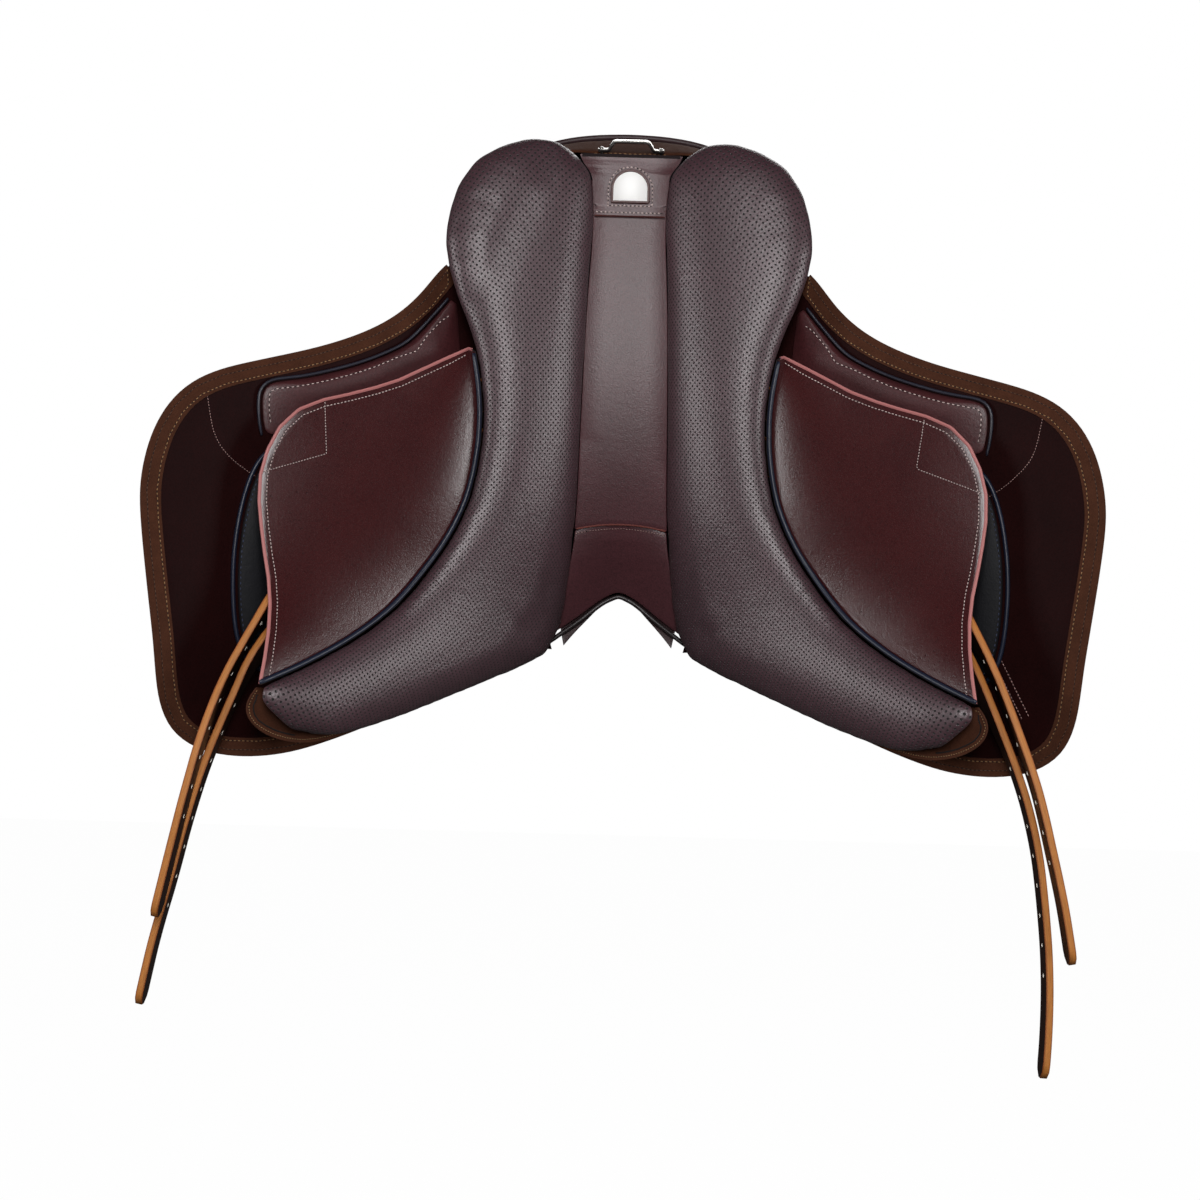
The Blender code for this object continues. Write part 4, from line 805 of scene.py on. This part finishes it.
def panel_cushion(side_name):
    """The flocked cushion under its perforated cover."""
    node = f"panel_cushion_{side_name}"
    piece = cad_copy(node, f"{node}_cover")
    in_edit(piece, (bpy.ops.transform.shrink_fatten, {"value": CUSHION_PLUMP}))
    only(piece)
    piece.data.remesh_voxel_size = CUSHION_VOXEL
    bpy.ops.object.voxel_remesh()
    finish_with(piece, "SMOOTH", factor=0.5, iterations=4)
    crowned(piece, outline_of(node, HORSE_SIDE))
    finish_with(piece, "SMOOTH", factor=0.5, iterations=18)
    back = np.array([vertex.normal.y > FACING for vertex in piece.data.vertices])
    filled(piece, back, CUSHION_PRESSURE, CUSHION_SWELL)
    finish_with(piece, "SMOOTH", factor=0.5, iterations=8)
    flattened(piece, HORSE_SIDE)
    finish_with(piece, "SUBSURF", levels=1, render_levels=1)
    piece.data.materials.clear()
    piece.data.materials.append(PANEL)
    only(piece)
    bpy.ops.object.shade_smooth()
    settle(piece, node, BODY_OF[node])
    return piece


def sweat_bulge(seam, outer):
    """Raises a sweat flap off its seam: steep beside the seam, then falling gently to the outer edge."""
    def shape(piece):
        places = places_of(piece)
        near = [reach_to(places, line) for line in (seam, outer)]
        share = near[0] / (near[0] + near[1])
        height = np.clip((places[:, 2] - SWEAT_FLAT_BELOW) / (SWEAT_FULL_ABOVE - SWEAT_FLAT_BELOW), 0, 1)
        rise = SWEAT_RISE * height ** 2 * (3 - 2 * height)
        places[:, 1] -= rise * (1 - np.exp(-near[0] / SWEAT_RISE_WIDTH)) * (1 - share ** 2)
        move_to(piece, places)
    return shape


def sweat_flap(side_name, side):
    """The sweat flap with its salmon edge, its stitching and the piping's whip stitches."""
    node = f"sweat_flap_{side_name}"
    loop = outline_of(node, HORSE_SIDE)
    rear, toe = (side * 0.142, 0.046), (side * 0.315, -0.268)
    seam = evenly(stretch(loop, rear, toe, (side * 0.135, -0.05)), LINE_STEP)
    outer = evenly(stretch(loop, rear, toe, (side * 0.32, -0.08)), LINE_STEP)
    piece = dress(
        node, SWEAT, 0.0004, shape=sweat_bulge(seam, outer), rim=(RAW_EDGE, side)
    )
    saddle_cord(f"sweat_flap_edge_{side_name}", outer, EDGE_BEAD, RAW_EDGE)
    edge = stretch(evenly(drawn_in(loop, 0.0062), LINE_STEP), (side * 0.150, 0.038), (side * 0.311, -0.262),
                   (side * 0.32, -0.08))
    stitches(
        f"sweat_flap_stitches_{side_name}", edge, piece, HORSE_SIDE, "saddle", PALE_THREAD, FLAP_STITCH
    )
    patch = evenly(PATCH_LINES[side_name], LINE_STEP)
    stitches(
        f"sweat_flap_patch_stitches_{side_name}", patch, piece, HORSE_SIDE, "saddle", PALE_THREAD, FINE_STITCH
    )
    whipped = seam + np.array([0, -0.0042, 0])
    stitches(f"piping_stitches_{side_name}", whipped, None, None, "saddle", NAVY_THREAD, FINE_STITCH)
    return piece


def flap_side(side_name, side):
    """The long flap: hide, suede binding with two rows of stitches, and the stitched girth patch lines."""
    body = f"flap_{side_name}"
    hide = dress(body, FLAP)
    binding = dress(f"flap_binding_{side_name}", SUEDE, 0.0004)
    loop = outline_of(body, HORSE_SIDE)
    for place, width, thread in (("outer", 0.0040, BROWN_THREAD), ("inner", 0.0122, TAN_THREAD)):
        row = stretch(
            evenly(drawn_in(loop, width), LINE_STEP), (side * 0.172, 0.120), (side * 0.20, -0.295),
            (side * 0.42, -0.10),
        )
        for face, outward in (("horse", HORSE_SIDE), ("rider", RIDER_SIDE)):
            stitches(
                f"binding_stitches_{place}_{face}_{side_name}", row, binding, outward,
                body, thread, BINDING_STITCH, shade_cord=face == "horse",
            )
    arc = evenly(smooth_line(FLAP_ARCS[side_name], 30), LINE_STEP)
    stitches(f"flap_arc_stitches_{side_name}", arc, hide, HORSE_SIDE, body, PINK_THREAD, FINE_STITCH)
    if side_name == "right":
        for number, shift in enumerate((0.0, DOUBLE_LINE_GAP)):
            line = evenly(np.array(FLAP_DOUBLE_LINE) + (shift, shift / 2), LINE_STEP)
            stitches(
                f"flap_line_stitches_{number}", line, hide, HORSE_SIDE, body, PINK_THREAD, FLAP_STITCH
            )


def flap_pads(side_name, side):
    """The knee pad and the block on the flap's horse side, with their rows of stitches."""
    body = f"flap_{side_name}"
    for name, material, slot, thread, inset, ends in (
        ("flap_pad", LINING, "smooth_leather", PALE_THREAD, 0.0070,
         ((0.172, 0.080), (0.3215, -0.0405), (0.300, 0.003))),
        ("block_pad", BLOCK, "block_leather", NAVY_THREAD, 0.0035,
         ((0.318, -0.062), (0.325, -0.250), (0.344, -0.150))),
    ):
        node = f"{name}_{side_name}"
        pad = dress(node, material, 0)
        start, end, via = [(side * x, z) for x, z in ends]
        row = stretch(evenly(drawn_in(outline_of(node, HORSE_SIDE), inset), LINE_STEP), start, end, via)
        stitches(f"{name}_stitches_{side_name}", row, pad, HORSE_SIDE, body, thread, PAD_STITCH)


def toe(side_name, side):
    """Suede behind the toe, with a near-black cord of painted shade along its fold, and its row of stitches.
    """
    node = f"toe_facing_{side_name}"
    piece = dress(node, SUEDE)
    loop = outline_of(node, HORSE_SIDE)
    ends = [(side * x, z) for x, z in ((0.320, -0.274), (0.250, -0.316), (0.322, -0.307))]
    fold = stretch(evenly(drawn_in(loop, 0.0065), CURVE_STEP), *ends)
    # Painted shade: a thin near-black cord along the fold stands for its shadow
    shade_cord = laid(fold[:24], piece, HORSE_SIDE, 0.0001)
    saddle_cord(f"toe_fold_shade_{side_name}", shade_cord, 0.0007, GROOVE_SHADE)
    row = stretch(evenly(drawn_in(loop, 0.0030), CURVE_STEP), *ends)
    stitches(f"toe_stitches_{side_name}", row, piece, HORSE_SIDE, "saddle", TAN_THREAD, FINE_STITCH)


def rails(node):
    """The four long corners of a strap, as lines from root to tip."""
    mesh = mesh_of(node)
    beside = neighbours(
        edge.verts for edge in mesh.edges
        if len(edge.link_faces) == 2 and edge.calc_face_angle() > SHARP and edge.calc_length() > 0.005
    )
    corners = [vertex for vertex, others in beside.items() if len(others) == 3]
    lines = []
    for corner in corners:
        line = [corner, *(other for other in beside[corner] if other not in corners)]
        while line[-1] not in corners:
            line.append(next(other for other in beside[line[-1]] if other not in line))
        if line[0].co.z > line[-1].co.z:
            lines.append(np.array([vertex.co[:] for vertex in line]))
    mesh.free()
    return lines


def strap_pattern(piece, along, width, thickness):
    """Lays a strap out flat: along it, and across its face or its cut edge."""
    layer = piece.data.uv_layers.active
    layer.name = "strap"
    one_face = STRAP_STATIONS * (STRAP_ACROSS + 1)
    for face in piece.data.polygons:
        for corner in face.loop_indices:
            index = piece.data.loops[corner].vertex_index
            station, column = divmod(index % one_face, STRAP_ACROSS + 1)
            if face.material_index:
                across = thickness / 2 if index >= one_face else -thickness / 2
            else:
                across = (column / STRAP_ACROSS - 0.5) * width
            layer.data[corner].uv = (across, along[station])


def girth_strap(node):
    """A bridle leather strap: a rounded tip, punched holes and a tan cut edge."""
    lines = rails(node)
    others = sorted(lines[1:], key=lambda line: np.linalg.norm(line[0] - lines[0][0]))
    pairs = ((lines[0], others[0]), (others[1], others[2]))
    edges = [(smooth_line(a, STRAP_STATIONS) + smooth_line(b, STRAP_STATIONS)) / 2 for a, b in pairs]
    centre = (edges[0] + edges[1]) / 2
    width = float(np.linalg.norm(edges[1][0] - edges[0][0]))
    thickness = float(np.linalg.norm(pairs[0][0][0] - pairs[0][1][0]))
    along = np.concatenate([[0], np.cumsum(np.linalg.norm(np.diff(centre, axis=0), axis=1))])
    none_selected()
    bpy.ops.mesh.primitive_grid_add(x_subdivisions=STRAP_ACROSS, y_subdivisions=STRAP_STATIONS - 1, size=1)
    piece = bpy.context.active_object
    piece.name = f"{node}_leather"
    places = []
    for i in range(STRAP_STATIONS):
        to_tip = min((along[-1] - along[i]) / STRAP_TIP, 1.0)
        narrow = max(math.sqrt(1 - (1 - to_tip) ** 2), 0.25)
        for u in np.linspace(-0.5, 0.5, STRAP_ACROSS + 1):
            places.append(centre[i] + (edges[1][i] - edges[0][i]) * u * narrow)
    move_to(piece, np.array(places))
    for material in (BRIDLE, BRIDLE_EDGE):
        piece.data.materials.append(material)
    finish_with(
        piece, "SOLIDIFY", thickness=thickness, offset=0.0, use_rim=True, material_offset_rim=1,
        use_even_offset=True,
    )
    strap_pattern(piece, along, width, thickness)
    finish_with(
        piece, "BEVEL", width=STRAP_EDGE_ROUND, segments=2, limit_method="ANGLE", angle_limit=SHARP,
        material=1,
    )
    punch_holes(piece, centre, edges, along, thickness)
    only(piece)
    bpy.ops.object.shade_smooth_by_angle(angle=SHARP)
    return settle(piece, node, BODY_OF[node])


def punch_holes(piece, centre, edges, along, thickness):
    """Punches the buckle holes, which show the pale web between the two layers."""
    across = edges[1] - edges[0]
    tangents = np.gradient(centre, axis=0)
    punches = []
    for number in range(STRAP_HOLE_COUNT):
        at = along[-1] - STRAP_HOLE_START - number * STRAP_HOLE_PITCH
        place, side, ahead = [
            Vector([float(np.interp(at, along, line[:, k])) for k in range(3)])
            for line in (centre, across, tangents)
        ]
        none_selected()
        bpy.ops.mesh.primitive_cylinder_add(
            vertices=12, radius=STRAP_HOLE_RADIUS, depth=thickness * 3, location=place,
            rotation=side.cross(ahead).to_track_quat("Z", "Y").to_euler(),
        )
        punches.append(bpy.context.active_object)
    none_selected()
    for punch in punches:
        punch.select_set(True)
    bpy.ops.object.join()
    punch = bpy.context.active_object
    punch.data.materials.append(CORE)
    finish_with(piece, "BOOLEAN", operation="DIFFERENCE", object=punch, material_mode="TRANSFER")
    bpy.data.objects.remove(punch)


def tucked_strip(piece):
    """Stretches the strip across the channel, so that it runs in under both cushions."""
    in_edit(piece, (bpy.ops.transform.resize, {"value": (STRIP_TUCK, 1, 1), "center_override": (0, 0, 0)}))


def tucked_lining(piece):
    """Runs the lining's rear edge in behind the strip, and its sides in under the cushions."""
    places = places_of(piece)
    rear = places[:, 2].max()
    behind = np.clip(1 - (rear - places[:, 2]) / 0.012, 0, 1)
    places[:, 2] += LINING_TUCK_UP * behind
    places[:, 1] += LINING_TUCK_IN * np.clip(1 - (rear - places[:, 2]) / 0.030, 0, 1)
    places[:, 0] *= LINING_TUCK
    move_to(piece, places)
    spread_low(piece)


def spread_low(piece):
    """Spreads the low ends of the arch out behind the corners of both cushions."""
    low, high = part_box("arch_lining")
    places = places_of(piece)
    depth = np.clip((high.z - places[:, 2]) / (high.z - low.z), 0, 1)
    places[:, 0] *= 1 + ARCH_SPREAD * depth ** 2
    move_to(piece, places)


def crowned_cap(piece):
    """Pads the cap either side of the plate and widens it under the cushions."""
    places = places_of(piece)
    off_plate = np.clip((np.abs(places[:, 0]) - CAP_PLATE_HALF) / CAP_PLATE_HALF, 0, 1)
    low, high = places[:, 2].min(), places[:, 2].max()
    middle = np.sin(np.pi * np.clip((places[:, 2] - low) / (high - low), 0, 1)) ** 0.7
    places[:, 1] -= CAP_CROWN * np.sin(np.pi * off_plate) * middle
    places[:, 0] *= CAP_TUCK
    move_to(piece, places)
    for side in (-1, 1):
        none_selected()
        bpy.ops.mesh.primitive_cylinder_add(
            vertices=20, radius=NOTCH_RADIUS, depth=0.03, rotation=(math.pi / 2, 0, 0),
            location=(side * NOTCH_ACROSS, places[:, 1].mean(), low + NOTCH_HEIGHT),
        )
        notch = bpy.context.active_object
        finish_with(piece, "BOOLEAN", operation="DIFFERENCE", object=notch)
        bpy.data.objects.remove(notch)


def cap_and_plate():
    """The cap with the blank plate in its stitched frame, its folded ends and the suede's tan stitches."""
    cap = dress("rear_cap", CALF, shape=crowned_cap)
    dress("badge_plate", PLATE, 0.0003, 0)
    low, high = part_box("badge_plate")
    middle = (low.x + high.x) / 2
    radius = (high.x - low.x) / 2

    def arch(out):
        """The arched line round the plate, this far outside it."""
        reach, bottom = radius + out, low.z - out
        top = [
            (middle + reach * math.cos(a), high.z - radius + reach * math.sin(a))
            for a in np.linspace(0, math.pi, 25)
        ]
        return [(middle - reach, bottom), (middle + reach, bottom)] + top + [(middle - reach, bottom)]

    bead = [(x, low.y + 0.0002, z) for x, z in evenly(arch(0.0), 0.0015)[:-1]]
    saddle_cord("plate_frame_bead", bead, FRAME_BEAD, TRIM, closed=True)
    stitches(
        "plate_frame_stitches", evenly(arch(FRAME_STITCH_OFFSET), 0.002), cap, HORSE_SIDE, "saddle",
        PALE_THREAD, FRAME_STITCH,
    )
    low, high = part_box("rear_cap")
    wide = np.linspace(-0.031, 0.031, 32)
    row = [(x, low.z + 0.0040) for x in wide]
    stitches("cap_bottom_stitches", row, cap, HORSE_SIDE, "saddle", PALE_THREAD, FRAME_STITCH)
    fold = laid([(x, low.z + 0.0007) for x in np.linspace(-0.0335, 0.0335, 24)], cap, HORSE_SIDE, -0.0004)
    saddle_cord("cap_bottom_fold", fold, 0.0008, TRIM)
    top = laid([(x, high.z - 0.0010) for x in np.linspace(-0.0465, 0.0465, 30)], cap, HORSE_SIDE, 0.0004)
    saddle_cord("cap_top_rib", top, 0.0016, DARK_TRIM)
    facing = dress("cantle_facing", SUEDE, 0.0004, 1)
    row = [(x, 0.2434) for x in np.linspace(-0.034, 0.034, 30)]
    stitches("facing_stitches", row, facing, HORSE_SIDE, "saddle", TAN_THREAD, PAD_STITCH, shade_cord=False)


def channel():
    """The channel's strip and arch lining, the folded seam between them and the bound arch."""
    strip = dress("channel_strip", CALF, shape=tucked_strip)
    lining = dress("arch_lining", CALF, shape=tucked_lining)
    dress("arch_binding", DARK_TRIM, 0, grow=0.0005, shape=spread_low)
    loop = outline_of("channel_strip", HORSE_SIDE)
    low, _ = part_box("channel_strip")
    front = stretch(loop, (-0.042, low.z), (0.042, low.z), (0, low.z))
    fold = laid(evenly(front, CURVE_STEP), strip, HORSE_SIDE)
    saddle_cord("seam_fold", fold, 0.0009, FOLD)
    below = evenly(front, CURVE_STEP) - np.array([0, 0, 0.0038])
    stitches("seam_stitches", below, lining, HORSE_SIDE, "saddle", PINK_THREAD, FINE_STITCH)


def seat():
    """The seat with its two curved seams, and what closes and carries it."""
    cover = dress("seat_cover", SEAT, 0.0008)
    foam = dress("seat_foam", FOAM, 0.002, 1)
    loop = outline_of("seat_cover", RIDER_SIDE)
    for side_name, side in SIDES:
        edge = evenly(
            stretch(loop, (side * 0.062, -0.167), (side * 0.100, 0.2545), (side * 0.154, 0.169)), LINE_STEP
        )
        for number, share in enumerate((SEAT_SEAM_SHARE - SEAT_SEAM_GAP, SEAT_SEAM_SHARE + SEAT_SEAM_GAP)):
            stitches(
                f"seat_stitches_{number}_{side_name}", edge * (share, 1, 1), cover, RIDER_SIDE, "saddle",
                PINK_THREAD, FLAP_STITCH,
            )
        welt = laid(edge * (SEAT_SEAM_SHARE, 1, 1), cover, RIDER_SIDE, 0.0003)
        saddle_cord(f"seat_seam_welt_{side_name}", welt, 0.0014, SEAT)
    dress("pommel_facing", SEAT)
    dress("cantle_welt", SEAT, 0, grow=0.0011)
    dress("tree_body", TREE, 0.0006, 0)
    for place in ("rear", "front"):
        dress(f"girth_web_{place}", WEB, 0.0003, 1)


def skirt(side_name, side):
    node = f"skirt_{side_name}"
    piece = dress(node, SEAT)
    loop = outline_of(node, RIDER_SIDE)
    row = stretch(
        evenly(drawn_in(loop, 0.0055), LINE_STEP), (side * 0.118, 0.076), (side * 0.085, -0.140),
        (side * 0.163, -0.02),
    )
    stitches(f"skirt_stitches_{side_name}", row, piece, RIDER_SIDE, node, PINK_THREAD, FLAP_STITCH)


def side_pieces(side_name, side):
    panel_cushion(side_name)
    for name, calf, grow in PIPED:
        dress(f"{name}_piping_{side_name}", calf, 0, grow=grow)
    sweat_flap(side_name, side)
    flap_side(side_name, side)
    flap_pads(side_name, side)
    toe(side_name, side)
    skirt(side_name, side)
    dress(f"skirt_welt_{side_name}", SEAT, 0, grow=0.0011)
    dress(f"dee_chape_{side_name}", SEAT, 0.0004, 1)
    for name in ("stirrup_bar", "bar_rivet", "bar_catch", "catch_pin", "head_screw", "staple_screw"):
        dress(f"{name}_{side_name}", NICKEL, 0.0004, 0)
    dress(f"front_dee_{side_name}", NICKEL, 0, grow=0.0003)
    for place in ("rear", "front"):
        girth_strap(f"girth_strap_{place}_{side_name}")


def camera():
    data = bpy.data.cameras.new("camera")
    data.sensor_width = SENSOR_WIDTH
    data.lens = SENSOR_WIDTH * -CAMERA_PLACE.y / SEEN_WIDTH
    piece = placed("camera", data)
    piece.location = CAMERA_PLACE
    piece.rotation_euler = (math.radians(90), -CAMERA_ROLL, 0)
    bpy.context.scene.camera = piece


def soft_light(name, place, size, watts):
    """A softbox turned to the saddle at the origin."""
    data = bpy.data.lights.new(name, "AREA")
    data.shape = "RECTANGLE"
    data.size, data.size_y = size
    data.energy = watts
    light = placed(name, data)
    light.location = place
    light.rotation_euler = (Vector() - Vector(place)).to_track_quat("-Z", "Y").to_euler()


def seen_directly(tree):
    """1 to the camera and through glass, 0 to the light that falls on the saddle."""
    path = add_node(tree, "LightPath")
    return add_node(
        tree, "Math", {0: path.outputs["Is Camera Ray"], 1: path.outputs["Is Transmission Ray"]},
        operation="MAXIMUM",
    ).outputs[0]


def studio():
    world = bpy.data.worlds.new("studio")
    bpy.context.scene.world = world
    world.use_nodes = True
    tree = world.node_tree
    background = tree.nodes["Background"]
    background.inputs["Color"].default_value = (1, 1, 1, 1)
    strength = add_node(tree, "MapRange", {"Value": seen_directly(tree), "To Min": AMBIENT, "To Max": 1.0})
    tree.links.new(strength.outputs["Result"], background.inputs["Strength"])
    bpy.ops.mesh.primitive_plane_add(size=12, location=(0, 0, FLOOR_HEIGHT))
    floor = bpy.context.active_object
    floor.name = "studio_floor"
    material, tree, shader = new_material("pale_paper", "#f4f4f4", 0.9, 0.1)
    seen = seen_directly(tree)
    paper = add_node(tree, "MapRange", {"Value": seen, "To Min": FLOOR_SPILL, "To Max": 0.95})
    tree.links.new(paper.outputs["Result"], shader.inputs["Base Color"])
    glow = add_node(tree, "Emission")
    share = add_node(tree, "Math", {0: seen, 1: FLOOR_GLOW}, operation="MULTIPLY")
    mixed = add_node(tree, "MixShader", {0: share.outputs[0], 1: shader.outputs[0], 2: glow.outputs[0]})
    tree.links.new(mixed.outputs[0], tree.nodes["Material Output"].inputs["Surface"])
    floor.data.materials.append(material)
    for name, place, size, watts in SOFTBOXES:
        soft_light(name, place, size, watts)
    bpy.context.scene.view_settings.view_transform = "Standard"


for name, side in SIDES:
    side_pieces(name, side)
channel()
cap_and_plate()
seat()
dress("rear_staple", NICKEL, 0.0006, 0)
dress("head_plate", NICKEL, 0.0004, 0)
camera()
studio()
